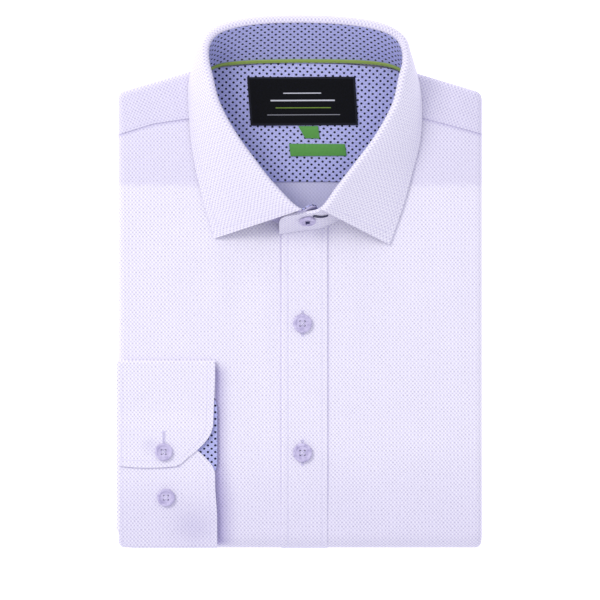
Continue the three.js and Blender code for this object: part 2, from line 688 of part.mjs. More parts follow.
// What fills the lobes, the thin layers between them, those above the hem, and a heart of
// flat cloth that joins them
function foldedLayers() {
  const hemmed = plate(hemOutline(SEAM_GAP), -FAR, MID_HEIGHT);
  const heart = plate(
    insetOutline(PLAIN_OUTLINE, SIDE_RETURN + LAP, FOLD_AXIS_Y - LOBE_RADIUS + LAP),
    HEART_BOTTOM, NECK_FLOOR + LAP);
  let layers = lobe(CLOTH + SEAM_GAP, -SEAM_GAP).add(heart);
  HIDDEN_LAYERS.forEach(({ inset, low, high, bottom, aboveHem }) => {
    const layer = roundedSlab(FULL_OUTLINE, inset, low, high, bottom);
    layers = layers.add(aboveHem ? layer.subtract(hemmed) : layer);
  });
  const sleeveSpace = SLEEVE_CLOTH / 2 + SEAM_GAP;
  return layers
    .subtract(block(-RECESS_HALF, RECESS_HALF, RECESS_FRONT_Y, FAR, NECK_FLOOR, FAR))
    .subtract(wall(sleeveGrid(SEAM_GAP), sleeveSpace, -sleeveSpace));
}

// Assembly

const shirt = new THREE.Group();

function addSolid(name, solid, material) {
  const mesh = new THREE.Mesh(toGeometry(solid.simplify(SLIVER)), material);
  mesh.name = name;
  shirt.add(mesh);
  return mesh;
}

const standInner = STAND_HALF_GAP + STAND_CLOTH;
const leafHalf = LEAF_CLOTH / 2;
const cuffHalf = CUFF_CLOTH / 2;

addSolid('folded_layers', foldedLayers(), inside);
addSolid('front_left', frontLeft, shirting);
addSolid('front_right', frontRight, shirting);
addSolid('placket', placket(), shirting);
addSolid('yoke', yoke, shirting);

const liningArea = plate(insetOutline(FULL_OUTLINE, LINING_INSET), LINING_BOTTOM, LINING_TOP);
addSolid('yoke_lining', liningArea.intersect(
  block(-LINING_HALF_WIDTH, LINING_HALF_WIDTH, LINING_HEM, FAR, 0, FAR)), dotted);
addSolid('back', block(-LINING_HALF_WIDTH, LINING_HALF_WIDTH, BACK_LOWER_EDGE,
  LINING_HEM - SEAM_GAP, LINING_BOTTOM, LINING_TOP), inside);

addSolid('collar_stand', wall(standGrid(0, LAST_STATION), -STAND_HALF_GAP, -standInner), shirting);
addSolid('collar_stand_facing', wall(standGrid(0, LAST_STATION), STAND_HALF_GAP, standInner), dotted);
addSolid('collar_leaf', wall(leafGrid(), leafHalf, -leafHalf), shirting);
addSolid('neck_tape', wall(standGrid(TAPE_FIRST_STATION, TAPE_LAST_STATION, TAPE_WIDTH),
  standInner + SEAM_GAP, standInner + SEAM_GAP + TAPE_CLOTH), green);

[
  ['label_main', LABEL_MAIN, black],
  ['label_size', LABEL_SIZE, green],
  ['label_fit', LABEL_FIT, green],
].forEach(([name, outline, material]) => {
  addSolid(name, plate(outline, LABEL_BOTTOM, LABEL_BOTTOM + LABEL_CLOTH), material);
});

addSolid('sleeve', wall(sleeveGrid(0), SLEEVE_CLOTH / 2, -SLEEVE_CLOTH / 2), shirting);
addSolid('cuff', wall(cuffGrid(), cuffHalf, -cuffHalf), shirting);
addSolid('cuff_facing', block(
  CUFF_LEFT + CUFF_FACING_INSET, CUFF_FACING_RIGHT,
  CUFF_BOTTOM_Y + CUFF_FACING_INSET, CUFF_TOP_Y - CUFF_FACING_INSET,
  CUFF_FACING_Z - cuffHalf, CUFF_FACING_Z + cuffHalf), dotted);

const placketTop = STACK_HEIGHT + PLACKET_RAISE + SEAM_GAP;
[
  ['button_front_1', FRONT_BUTTON, [BUTTON_LINE, -27.5, placketTop]],
  ['button_front_2', FRONT_BUTTON, [BUTTON_LINE, -115.3, placketTop]],
  ['button_cuff_1', CUFF_BUTTON, [-92.3, -114.5, CUFF_OVER_Z + cuffHalf + SEAM_GAP]],
  ['button_cuff_2', CUFF_BUTTON, [-90.8, -145.5, CUFF_UNDER_Z + cuffHalf + SEAM_GAP]],
].forEach(([name, size, place]) => {
  addSolid(name, button(size), plastic).position.set(...place);
});

// The collar button sits on the outer face of the stand's over end
const { seam: buttonSeam, top: buttonTop } = standAt(COLLAR_BUTTON_STATION);
const standUp = new THREE.Vector3().subVectors(buttonTop, buttonSeam).normalize();
const standAlong = standSeam.getTangent(COLLAR_BUTTON_STATION / LAST_STATION);
const standOut = new THREE.Vector3().crossVectors(standUp, standAlong).normalize();
const collarButton = addSolid('button_collar', button(COLLAR_BUTTON), plastic);
collarButton.position.copy(buttonSeam).lerp(buttonTop, COLLAR_BUTTON_HEIGHT)
  .addScaledVector(standOut, standInner + SEAM_GAP);
collarButton.quaternion.setFromUnitVectors(new THREE.Vector3(0, 0, 1), standOut);

// The origin is the middle of the underside of the whole shirt
const bounds = new THREE.Box3().setFromObject(shirt, true);
const middle = bounds.getCenter(new THREE.Vector3());
shirt.position.set(-middle.x, -middle.y, -bounds.min.z);

export default shirt;
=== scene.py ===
# A long sleeve dress shirt, folded flat as for a shelf, with its collar standing open.
# Tables are in millimetres in the shirt's own frame: +X to the right of the shirt as it lies,
# +Y towards the collar, +Z up from the surface that it lies on.

import math

import bpy
import numpy as np
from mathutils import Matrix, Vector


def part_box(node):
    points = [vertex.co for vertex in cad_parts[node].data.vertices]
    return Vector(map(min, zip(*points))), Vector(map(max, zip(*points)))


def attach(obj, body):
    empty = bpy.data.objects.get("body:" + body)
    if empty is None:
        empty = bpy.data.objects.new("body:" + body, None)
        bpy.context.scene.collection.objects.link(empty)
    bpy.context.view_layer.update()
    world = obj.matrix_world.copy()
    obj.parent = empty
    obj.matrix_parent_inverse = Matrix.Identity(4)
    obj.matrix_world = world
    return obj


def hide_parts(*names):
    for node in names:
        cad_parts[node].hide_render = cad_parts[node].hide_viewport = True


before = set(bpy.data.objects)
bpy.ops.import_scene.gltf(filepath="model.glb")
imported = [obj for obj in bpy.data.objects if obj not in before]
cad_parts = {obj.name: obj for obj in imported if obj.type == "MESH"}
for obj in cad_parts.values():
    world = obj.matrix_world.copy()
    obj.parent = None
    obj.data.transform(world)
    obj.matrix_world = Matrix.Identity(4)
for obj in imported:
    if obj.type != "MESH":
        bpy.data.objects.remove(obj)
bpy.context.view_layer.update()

MM = 0.001


def table(columns, *rows):
    """Rows with named columns. A row may leave out its last ones."""
    return [dict(zip(columns, row)) for row in rows]


def column(rows, name):
    return [row[name] for row in rows]


# Folded body
HALF_WIDTH = 124
FOLD_AXIS_Y = -171
STACK_HEIGHT = 20
MID_HEIGHT = STACK_HEIGHT / 2
LOBE_GAP = 1.6
LOBE_RADIUS = (MID_HEIGHT - LOBE_GAP) / 2
LOBE_MIDDLE = LOBE_GAP + LOBE_RADIUS
BODY_CLOTH = 0.7
RETURN_WIDTH = 14
UNDERLAP = 3
UNDERLAP_DROP = 0.35
TAIL_START = FOLD_AXIS_Y - math.pi * MID_HEIGHT

# Right half of the body's outline from the side fold up to the back of the neck
SHOULDER_OUTLINE = table(
    ("x", "y"),
    (124, 127.5),
    (122.4, 130.2),
    (60, 148.8),
    (30, 151.6),
    (0, 152.5),
)

# Seam where the yoke meets the fronts
YOKE_SEAM = table(
    ("x", "y"),
    (-140, 96),
    (-122.4, 101.3),
    (-99.6, 108.3),
    (-78.3, 111.5),
    (-50, 114),
    (50, 115.5),
    (82.7, 112.5),
    (119.9, 102.5),
    (140, 97),
)

# Placket
PLACKET_LEFT = -12.6
PLACKET_RIGHT = 18.8
PLACKET_RAISE = 0.6
PLACKET_CLOTH = 0.5
PLACKET_STITCHES = [
    {"edge": PLACKET_LEFT, "x": PLACKET_LEFT + 4.6},
    {"edge": PLACKET_RIGHT, "x": PLACKET_RIGHT - 3.6},
]
WELT_HEIGHT = 0.22
WELT_WIDTH = 1.5
# The stitching sinks into the placket, and the cloth is painted darker along it as shade in the
# dent
STITCH_SINK = {"depth": 0.2, "half_width": 0.5, "painted_shade": 0.08}
PLACKET_ROUND = {"drop": 0.3, "reach": 0.5}
PLACKET_EDGE_COLUMNS = np.array([0, 0.12, 0.3, 0.6])
PLACKET_COLUMNS = 60

# Shirt tail
HEM_CENTRE = 80
HEM_SIDE = 30

# Inside of the neck
LINING_TOP = 16.5
LINING_CLOTH = 0.6
LINING_HALF_WIDTH = 77.5
LINING_HEM = 69.1
LINING_BACK_Y = 150.2
LINING_INSET = 2.5
LINING_RISE = {"from": 132, "to": LINING_BACK_Y, "height": 1.2}
LINING_TURN = math.radians(-2)
LINING_GRID = (90, 56)
BACK_LOWER_EDGE = 22.5
BACK_DROP = 0.85
BACK_LAP = 2
BACK_CLOTH = 0.5
BACK_GRID = (60, 30)

# Shift from the shirt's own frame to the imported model's, in millimetres
front_low, front_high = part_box("front_right")
SHIFT = np.array([
    front_high.x / MM - HALF_WIDTH,
    front_low.y / MM - (FOLD_AXIS_Y - MID_HEIGHT),
    0,
])

# Collar stand, round the neck from its under end to its over end.
# seam is the middle of the wall at the neck seam, top its middle at the upper edge, and
# leaf the outer edge of the leaf that turns down from there, where the stand carries one.
STAND_STATIONS = table(
    ("seam", "top", "leaf"),
    ((13.0, 42.6, 20.5), (11.5, 52.8, 44.0)),
    ((6.5, 41.2, 20.5), (6.0, 51.0, 46.0)),
    ((-6.0, 40.2, 20.5), (0.9, 48.8, 46.2), (-58.0, 30.2, 21.2)),
    ((-25.8, 47.4, 20.5), (-18.4, 66.3, 46.0), (-64.2, 51.5, 21.3)),
    ((-40.8, 63.8, 20.5), (-31.4, 82.8, 45.8), (-69.8, 74.0, 21.6)),
    ((-53.7, 82.9, 20.5), (-44.7, 101.7, 45.6), (-73.4, 96.0, 22.0)),
    ((-62.9, 102.6, 20.5), (-54.8, 121.3, 45.4), (-75.0, 116.0, 22.0)),
    ((-68.3, 121.7, 20.5), (-59.2, 138.1, 45.0), (-75.3, 134.0, 22.0)),
    ((-69.0, 133.9, 20.4), (-61.4, 148.2, 44.4), (-73.0, 145.6, 21.4)),
    ((-65.6, 142.5, 19.8), (-61.2, 158.4, 43.4), (-68.2, 157.5, 15.0)),
    ((-57.5, 147.6, 18.8), (-56.0, 166.0, 42.2), (-60.0, 169.6, 8.0)),
    ((-42.0, 150.0, 17.9), (-40.4, 171.8, 41.2), (-41.1, 175.6, 5.0)),
    ((3.7, 151.2, 17.7), (3.7, 174.6, 40.8), (3.8, 178.2, 3.6)),
    ((50.0, 150.0, 17.9), (48.4, 170.6, 41.2), (49.6, 174.4, 5.0)),
    ((64.6, 147.2, 18.8), (63.4, 164.5, 42.2), (64.6, 167.2, 8.0)),
    ((72.8, 142.4, 19.8), (68.4, 157.2, 43.4), (71.6, 156.2, 15.0)),
    ((76.3, 133.9, 20.4), (69.3, 147.6, 44.4), (77.6, 144.6, 21.4)),
    ((75.6, 121.7, 20.5), (66.9, 137.5, 45.0), (81.0, 133.0, 22.0)),
    ((70.3, 102.6, 20.5), (62.6, 119.9, 45.4), (82.3, 116.0, 22.0)),
    ((61.2, 82.9, 20.5), (51.6, 99.1, 45.6), (80.9, 95.5, 22.0)),
    ((48.2, 63.8, 20.5), (36.0, 77.8, 45.8), (76.0, 75.5, 21.7)),
    ((34.0, 48.8, 20.7), (24.9, 63.4, 45.8), (69.8, 52.5, 21.4)),
    ((14.9, 38.8, 21.4), (13.4, 49.2, 45.4), (60.6, 26.0, 21.2)),
    ((1.4, 36.7, 21.4), (1.0, 46.8, 44.6)),
    ((-8.0, 35.2, 21.4), (-7.6, 45.6, 42.4)),
    ((-14.2, 34.2, 21.4), (-13.8, 44.8, 38.4)),
)
LAST_STATION = len(STAND_STATIONS) - 1
FIRST_LEAF_STATION = 2
LAST_LEAF_STATION = 22
STAND_CLOTH = 0.9
STAND_HALF_GAP = 0.1
STAND_FACE = STAND_HALF_GAP + STAND_CLOTH
STAND_END_RADIUS = 6
STAND_END_STATIONS = 3
STAND_COLUMNS = 24
STAND_SINK = 0.03
LIP_SHARE = 0.1
STATION_STEPS = 8
LEAF_CLOTH = 1.5
LEAF_RISE = 0.2
LEAF_ROLL_RADIUS = 2.1
LEAF_BULGE = 0.24
LEAF_HUG = {"left": 0.3, "right": 0.3, "stations": 3.5}
LEAF_ROLL_STEPS = 10
LEAF_FALL_STEPS = 18
LEAF_STITCH_INSET = 5
BAND_STITCH_STATION = 20
BAND_STITCH_COLUMNS = (2, 18)
BAND_STITCH_SIZE = {"width": 0.26, "height": 0.16}
BAND_STITCH_END_ROWS = 4
LEAF_SEAM_ROW = 2
NECK_UNDERLAP = 0.3
NECK_FRONT_SHARES = [(0.31, 0.08), (0.87, 0.65)]
YOKE_NECK_CLEARANCE = 0.8
OVER_END_STATION = 21

# Tape and labels on the lining
TAPE_WIDTH = 2.6
TAPE_COLUMNS = 6
TAPE_CLOTH = 0.9
TAPE_GAP = 0.2
TAPE_FIRST_STATION = 8
TAPE_LAST_STATION = 16
LABEL_MAIN = [(-36.1, 140.3), (37.5, 140.6), (39.6, 107.6), (-33.6, 107.2)]
LABEL_SIZE = [(-1.2, 106.9), (12.4, 106.9), (13.4, 98.4), (3.6, 98.6)]
LABEL_FIT = [(-7.4, 94.9), (30.6, 94.7), (31.8, 86.7), (-6.4, 86.4)]
LABEL_SIZE_MAIN = (73.4, 33.2)
LABEL_SIZE_SIZE = (12, 8.4)
LABEL_SIZE_FIT = (38, 8.2)
LABEL_RAISE = 0.3
LABEL_CLOTH = 0.6
LABEL_CROWN = {"height": 0.25, "reach": 3}
LABEL_GRID = (50, 24)

# Sleeve and cuff brought to the front, over the left side fold
CUFF_LEFT = -122.3
CUFF_RIGHT = -57.6
CUFF_TOP_Y = -53
CUFF_BOTTOM_Y = -179.4
CUFF_CLOTH = 1
CUFF_BACK_Z = 20.8
CUFF_FACING_Z = 22.1
CUFF_UNDER_Z = 23.4
CUFF_OVER_Z = 24.7
CUFF_OVER_END_Y = -125.4
CUFF_UNDER_END_Y = -101
CUFF_CORNER_X = -82
CUFF_CORNER_LENGTH = 30
CUFF_CORNER_ROUND = 2.4
CUFF_CORNER_FULLNESS = 1.2
CUFF_LEAN = {"over": 2.4, "over_length": 62, "under": 1.4, "from": (33, 60), "to": (-125, -85)}
CUFF_RAMP_CLEARANCE = 2
CUFF_RAMP_LENGTH = 12
CUFF_FOLD_STEPS = 10
CUFF_FOLD_CORNER = 9
CUFF_ROW_LENGTH = 0.8
CUFF_BOW_X = -104
CUFF_BOW = 1.3
CUFF_BOW_LENGTH = 20
CUFF_COLUMNS = 44
CUFF_STITCH_INSET = 5
CUFF_FACING_RIGHT = -56.2
CUFF_FACING_INSET = 2.3
CUFF_FACING_HIDDEN = 0.9
CUFF_FACING_GRID = (40, 90)
# Stretches over which the facing's right edge comes out from under the cuff, in y and in -y
CUFF_FACING_SHOWN = {"low": (-132, -122), "high": (74, 86)}
SLEEVE_CLOTH = 0.8
SLEEVE_BOTTOM_Y = -168
SLEEVE_RETURN_X = -98
SLEEVE_ARC_STEPS = 10


# Materials

def linear(red, green, blue):
    """A colour given as it shows on a screen, 0 to 255, as linear light with alpha."""
    def channel(value):
        share = value / 255
        return share / 12.92 if share <= 0.04045 else ((share + 0.055) / 1.055) ** 2.4
    return (channel(red), channel(green), channel(blue), 1)


class Nodes:
    """Short ways to add and join the nodes of one material."""

    def __init__(self, name):
        self.material = bpy.data.materials.new(name)
        self.material.use_nodes = True
        self.tree = self.material.node_tree
        self.shader = self.tree.nodes["Principled BSDF"]

    def link(self, value, socket):
        if isinstance(value, bpy.types.NodeSocket):
            self.tree.links.new(value, socket)
        else:
            socket.default_value = value

    def math(self, operation, first, second=0.0, third=0.0):
        node = self.tree.nodes.new("ShaderNodeMath")
        node.operation = operation
        for value, socket in zip((first, second, third), node.inputs):
            self.link(value, socket)
        return node.outputs[0]

    def vector_math(self, operation, first, second=(0, 0, 0)):
        node = self.tree.nodes.new("ShaderNodeVectorMath")
        node.operation = operation
        self.link(first, node.inputs[0])
        self.link(second, node.inputs[1])
        return node.outputs["Value"] if operation == "LENGTH" else node.outputs[0]

    def cloth_place(self):
        """Place on the cloth in millimetres, x along the weft and y along the warp. Its z is
        painted shade, from 0 where none is painted to 1 where it is darkest."""
        node = self.tree.nodes.new("ShaderNodeAttribute")
        node.attribute_name = "weave"
        return node.outputs["Vector"]

    def own_place(self):
        """Place on the object itself, in metres."""
        return self.tree.nodes.new("ShaderNodeTexCoord").outputs["Object"]

    def solid_place(self):
        """Cloth place for a solid without one: its own x and y, slanted by its height."""
        scaled = self.vector_math("MULTIPLY", self.own_place(), (1 / MM, 1 / MM, 1 / MM))
        x, y, z = self.separate(scaled)
        node = self.tree.nodes.new("ShaderNodeCombineXYZ")
        self.link(self.math("ADD", x, z), node.inputs[0])
        self.link(self.math("ADD", y, z), node.inputs[1])
        return node.outputs[0]

    def separate(self, vector):
        node = self.tree.nodes.new("ShaderNodeSeparateXYZ")
        self.link(vector, node.inputs[0])
        return node.outputs

    def noise(self, vector, scale, detail=2.0, roughness=0.5, output="Fac"):
        node = self.tree.nodes.new("ShaderNodeTexNoise")
        self.link(vector, node.inputs["Vector"])
        node.inputs["Scale"].default_value = scale
        node.inputs["Detail"].default_value = detail
        node.inputs["Roughness"].default_value = roughness
        return node.outputs[output]

    def wave(self, value, length):
        return self.math("SINE", self.math("MULTIPLY", value, math.tau / length))

    def ramp(self, value, low, high, to_low=0.0, to_high=1.0):
        node = self.tree.nodes.new("ShaderNodeMapRange")
        node.interpolation_type = "SMOOTHSTEP"
        for number, socket in zip((value, low, high, to_low, to_high), node.inputs):
            self.link(number, socket)
        return node.outputs[0]

    def mix(self, factor, first, second, blend="MIX"):
        node = self.tree.nodes.new("ShaderNodeMix")
        node.data_type = "RGBA"
        node.blend_type = blend
        self.link(factor, node.inputs[0])
        self.link(first, node.inputs[6])
        self.link(second, node.inputs[7])
        return node.outputs[2]

    def spots(self, place, pitch, offset, size, soft=(0.3, 1.15), turn=0.0):
        """1 on a spot of the given half sizes at each point of a lattice, 0 between them."""
        scaled = self.vector_math("DIVIDE", place, (pitch[0], pitch[1], 1))
        moved = self.vector_math("ADD", scaled, (offset[0] + 0.5, offset[1] + 0.5, 0))
        cell = self.vector_math("FRACTION", moved)
        centred = self.vector_math("SUBTRACT", cell, (0.5, 0.5, 0))
        apart = self.vector_math("MULTIPLY", centred, (pitch[0], pitch[1], 0))
        node = self.tree.nodes.new("ShaderNodeVectorRotate")
        node.rotation_type = "Z_AXIS"
        node.inputs["Angle"].default_value = turn
        self.link(apart, node.inputs["Vector"])
        flat = self.vector_math("DIVIDE", node.outputs[0], (size[0], size[1], 1))
        return self.ramp(self.vector_math("LENGTH", flat), soft[0], soft[1], 1, 0)

    def bump(self, height, distance, strength):
        node = self.tree.nodes.new("ShaderNodeBump")
        node.inputs["Distance"].default_value = distance
        node.inputs["Strength"].default_value = strength
        self.link(height, node.inputs["Height"])
        self.link(node.outputs[0], self.shader.inputs["Normal"])

    def finish(self, color, roughness, sheen=0.0, coat=0.0):
        self.link(color, self.shader.inputs["Base Color"])
        self.shader.inputs["Roughness"].default_value = roughness
        self.shader.inputs["Sheen Weight"].default_value = sheen
        self.shader.inputs["Coat Weight"].default_value = coat
        return self.material


# Colour that painted shade brings the cloth towards, where it is darkest
PAINTED_SHADOW_COLOR = (0.56, 0.53, 0.72, 1)
THREAD_PITCH = 0.41
WEAVE_PITCH = (2.46, 2.70)
PIP_SLANT = math.radians(28)

# The dobby's pips and flecks: their shifts in its lattice, half sizes and slant
WEAVE_SPOTS = {
    "main": {"offset": (0, 0), "size": (0.7, 0.54), "turn": PIP_SLANT},
    "between": {"offset": (0.5, 0.5), "size": (0.66, 0.52), "turn": PIP_SLANT},
    "beside": {"offset": (0.5, 0), "size": (0.46, 0.95)},
    "above": {"offset": (0, 0.5), "size": (0.62, 0.46)},
}
DOT_PITCH = (5.0, 4.5)
DOT_SIZE = (0.88, 0.8)
HALO_SIZE = (1.5, 1.4)


def plain_weave(nodes, place):
    """Height of single threads, a sine along the weft times one along the warp."""
    x, y, _ = nodes.separate(place)
    return nodes.math("MULTIPLY", nodes.wave(x, 2 * THREAD_PITCH), nodes.wave(y, 2 * THREAD_PITCH))


def shirting(name, ground, fleck, pip, on_cloth=True):
    """Dobby cloth: a lattice of small grey pips with pale flecks between them."""
    nodes = Nodes(name)
    place = nodes.cloth_place() if on_cloth else nodes.solid_place()
    drawn = nodes.vector_math("MULTIPLY", nodes.noise(place, 0.12, 2, output="Color"),
                              (1.6, 1.6, 0))
    lattice = nodes.vector_math("ADD", place, drawn)
    main, between, beside, above = (
        nodes.spots(lattice, WEAVE_PITCH, **spot) for spot in WEAVE_SPOTS.values())
    patches = nodes.ramp(nodes.noise(place, 0.1, 3), 0.35, 0.65, 0.6, 0.95)
    uneven = nodes.ramp(nodes.noise(place, 0.45, 2, 0.6), 0.3, 0.7, 0.45, 1)
    dark = nodes.math("MAXIMUM", main, nodes.math("MULTIPLY", between, patches))
    dark = nodes.math("MULTIPLY", dark, uneven)
    light = nodes.math("MAXIMUM", beside, nodes.math("MULTIPLY", above, patches))
    threads = plain_weave(nodes, place)
    drift = nodes.ramp(nodes.noise(place, 0.03, 2), 0.3, 0.7, 0, 0.04)
    color = nodes.mix(light, ground, fleck)
    color = nodes.mix(nodes.math("MULTIPLY_ADD", threads, 0.12, dark), color, pip)
    color = nodes.mix(drift, color, pip)
    # Painted shade, carried in the cloth place's z
    if on_cloth:
        color = nodes.mix(nodes.separate(place)[2], color, PAINTED_SHADOW_COLOR, "MULTIPLY")
    height = nodes.math("MULTIPLY_ADD", threads, 0.15, nodes.math("SUBTRACT", light, dark))
    nodes.bump(height, 0.0002, 0.3)
    return nodes.finish(color, 0.85, sheen=0.06)


def dotted():
    nodes = Nodes("dotted_cloth")
    place = nodes.cloth_place()
    crisp = (0.85, 1.08)
    first = nodes.spots(place, DOT_PITCH, (0, 0), DOT_SIZE, crisp)
    second = nodes.spots(place, DOT_PITCH, (0.5, 0.5), DOT_SIZE, crisp)
    halo = nodes.spots(place, DOT_PITCH, (0, 0), HALO_SIZE, (0.5, 1.1))
    dots = nodes.math("MAXIMUM", first, second)
    grain = nodes.noise(place, 1.1, 3, 0.7)
    threads = plain_weave(nodes, place)
    pale = nodes.ramp(grain, 0.35, 0.7)
    color = nodes.mix(pale, linear(156, 160, 214), linear(203, 206, 246))
    color = nodes.mix(nodes.math("MULTIPLY", halo, 0.3), color, linear(214, 218, 255))
    color = nodes.mix(dots, color, linear(6, 7, 40))
    nodes.bump(nodes.math("MULTIPLY_ADD", threads, 0.3, pale), 0.0002, 0.3)
    return nodes.finish(color, 0.85, sheen=0.06)


def ribbed(name, base, line, pitch):
    """Woven tape or tab, with fine ribs across it."""
    nodes = Nodes(name)
    place = nodes.cloth_place()
    ribs = nodes.wave(nodes.separate(place)[0], pitch)
    grain = nodes.noise(place, 1.5, 2)
    shade = nodes.ramp(nodes.math("MULTIPLY_ADD", ribs, 0.25, grain), 0.2, 0.8)
    color = nodes.mix(nodes.math("MULTIPLY", shade, 0.5), base, line)
    nodes.bump(ribs, 0.0002, 0.4)
    return nodes.finish(color, 0.6, sheen=0.1)


# How far the woven border of the neck label lies inside its edge
LABEL_BORDER = (1.6, 1.2)
# Plain woven lines on the neck label, which stand for nothing: places from its middle
LABEL_LINES = table(
    ("y", "half_length", "half_width", "color"),
    (5.4, 13, 0.32, (206, 208, 214)),
    (0.4, 22, 0.45, (206, 208, 214)),
    (-4.6, 19, 0.25, (128, 160, 66)),
    (-9.4, 25, 0.22, (150, 152, 158)),
)


def satin_label():
    nodes = Nodes("black_satin")
    place = nodes.cloth_place()
    x, y, _ = nodes.separate(place)
    twill = nodes.wave(nodes.math("ADD", x, y), 0.7)
    grain = nodes.noise(place, 0.9, 2)
    shade = nodes.ramp(nodes.math("MULTIPLY_ADD", twill, 0.2, grain), 0.2, 0.8)
    color = nodes.mix(shade, linear(3, 4, 6), linear(14, 15, 20))
    away = [nodes.math("ABSOLUTE", value) for value in (x, y)]
    borders = [nodes.ramp(value, size / 2 - LABEL_BORDER[0], size / 2 - LABEL_BORDER[1])
               for value, size in zip(away, LABEL_SIZE_MAIN)]
    border = nodes.math("MAXIMUM", *borders)
    color = nodes.mix(nodes.math("MULTIPLY", border, 0.5), color, linear(44, 46, 54))
    for line in LABEL_LINES:
        from_line = nodes.math("ABSOLUTE", nodes.math("SUBTRACT", y, line["y"]))
        across = nodes.ramp(from_line, line["half_width"] * 0.7, line["half_width"] * 1.3, 1, 0)
        along = nodes.ramp(away[0], line["half_length"] - 0.3, line["half_length"], 1, 0)
        share = nodes.math("MULTIPLY", across, along)
        color = nodes.mix(share, color, linear(*line["color"]))
    nodes.bump(twill, 0.0002, 0.3)
    nodes.shader.inputs["Specular IOR Level"].default_value = 0.12
    return nodes.finish(color, 0.7)


def resin():
    nodes = Nodes("button_resin")
    swirl = nodes.noise(nodes.own_place(), 260, 3, 0.6)
    color = nodes.mix(nodes.ramp(swirl, 0.3, 0.7), linear(176, 168, 204), linear(210, 203, 232))
    return nodes.finish(color, 0.3, coat=0.3)


def thread(name, color, shade):
    nodes = Nodes(name)
    twist = nodes.ramp(nodes.noise(nodes.own_place(), 3000, 1), 0.35, 0.65)
    return nodes.finish(nodes.mix(twist, color, shade), 0.7, sheen=0.2)


CLOTH = shirting("shirting_cloth", linear(234, 231, 245), linear(255, 254, 255),
                 linear(186, 182, 204))
INSIDE = shirting("shirting_reverse", linear(203, 202, 226), linear(214, 213, 234),
                  linear(188, 186, 214))
HIDDEN = shirting("shirting_folded", linear(226, 222, 240), linear(238, 235, 248),
                  linear(184, 178, 208), on_cloth=False)
DOTTED = dotted()
TAPE = ribbed("green_tape_weave", linear(160, 188, 84), linear(128, 158, 62), 0.9)
TAB = ribbed("green_tab_weave", linear(86, 158, 62), linear(60, 130, 48), 0.9)
LABEL = satin_label()
RESIN = resin()
PALE_THREAD = thread("pale_thread", linear(226, 223, 241), linear(206, 202, 228))
NAVY_THREAD = thread("navy_thread", linear(20, 20, 66), linear(34, 34, 90))


# Meshes from grids of points, in millimetres

SHARP_ANGLE = math.radians(50)


def grid_of(*layers):
    """Points or cloth places from their coordinates, each spread over the whole grid."""
    return np.stack(np.broadcast_arrays(*layers), axis=-1)


def along_line(places, known, values):
    """Rows between the rows of values, whose own places are known."""
    return np.stack([np.interp(places, known, axis) for axis in values.T], axis=1)


def unit(vectors):
    length = np.linalg.norm(vectors, axis=-1, keepdims=True)
    return vectors / np.maximum(length, 1e-9)


def grid_normals(grid):
    return unit(np.cross(np.gradient(grid, axis=0), np.gradient(grid, axis=1)))


def travelled(grid, axis):
    """Distance along one axis of a grid, from its start."""
    steps = np.linalg.norm(np.diff(grid, axis=axis), axis=2)
    pad = [(0, 0), (0, 0)]
    pad[axis] = (1, 0)
    return np.pad(np.cumsum(steps, axis=axis), pad)


def own_weave(grid):
    """Cloth places measured on the grid itself: x along its columns, y along its rows."""
    along = travelled(grid, 0).mean(axis=1, keepdims=True)
    across = travelled(grid, 1)
    return grid_of(along, across)


def wall_faces(rows, columns, first, turned):
    size = rows * columns
    at = np.arange(size).reshape(rows, columns) + first
    a, b, c, d = at[:-1, :-1], at[1:, :-1], at[1:, 1:], at[:-1, 1:]
    top = np.stack([a, b, c, d], axis=-1).reshape(-1, 4)
    bottom = (top + size)[:, ::-1]
    rims = []
    for line, reverse in ((at[0], False), (at[-1], True), (at[:, 0], True), (at[:, -1], False)):
        rim = np.stack([line[:-1], line[1:], line[1:] + size, line[:-1] + size], axis=-1)
        rims.append(rim[:, ::-1] if reverse else rim)
    faces = np.concatenate([top, bottom, *rims])
    return faces[:, ::-1] if turned else faces


def wall(outer, inner, weave):
    """A closed wall between two grids, as points, faces and cloth places."""
    turned = np.sum(grid_normals(outer) * (outer - inner)) < 0
    points = np.concatenate([outer.reshape(-1, 3), inner.reshape(-1, 3)])
    if weave.shape[2] == 2:
        weave = np.pad(weave, ((0, 0), (0, 0), (0, 1)))
    thickness = np.linalg.norm(outer - inner, axis=2, keepdims=True)
    places = np.concatenate([
        weave.reshape(-1, 3), (weave + thickness * np.array([1, 1, 0])).reshape(-1, 3)])
    rows, columns = outer.shape[:2]
    return points, wall_faces(rows, columns, 0, turned), places


def thick_wall(grid, up, down, weave=None):
    """A wall that reaches two distances from a grid, along its normals."""
    normals = grid_normals(grid)
    place = own_weave(grid) if weave is None else weave
    up, down = np.asarray(up)[..., None], np.asarray(down)[..., None]
    return wall(grid + normals * up, grid + normals * down, place)


def make_piece(name, walls, material, replaces=(), rim=0.0):
    """One object from one or more walls, riding on the shirt's body."""
    points, faces, places, count = [], [], [], 0
    for wall_points, wall_face_list, wall_places in walls:
        points.append(wall_points)
        faces.append(wall_face_list + count)
        places.append(wall_places)
        count += len(wall_points)
    mesh = bpy.data.meshes.new(name)
    metres = (np.concatenate(points) + SHIFT) * MM
    mesh.from_pydata(metres.tolist(), [], np.concatenate(faces).tolist())
    attribute = mesh.attributes.new("weave", "FLOAT_VECTOR", "POINT")
    attribute.data.foreach_set("vector", np.concatenate(places).ravel())
    mesh.polygons.foreach_set("use_smooth", np.ones(len(mesh.polygons), bool))
    mesh.set_sharp_from_angle(angle=SHARP_ANGLE)
    mesh.materials.append(material)
    piece = bpy.data.objects.new(name, mesh)
    bpy.context.scene.collection.objects.link(piece)
    if rim:
        bevel = piece.modifiers.new("soft_rims", "BEVEL")
        bevel.width = rim * MM
        bevel.segments = 2
        bevel.limit_method = "ANGLE"
        bevel.angle_limit = SHARP_ANGLE
    if replaces:
        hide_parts(*replaces)
    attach(piece, "root")


# Sewing, as rounded threads with four sides

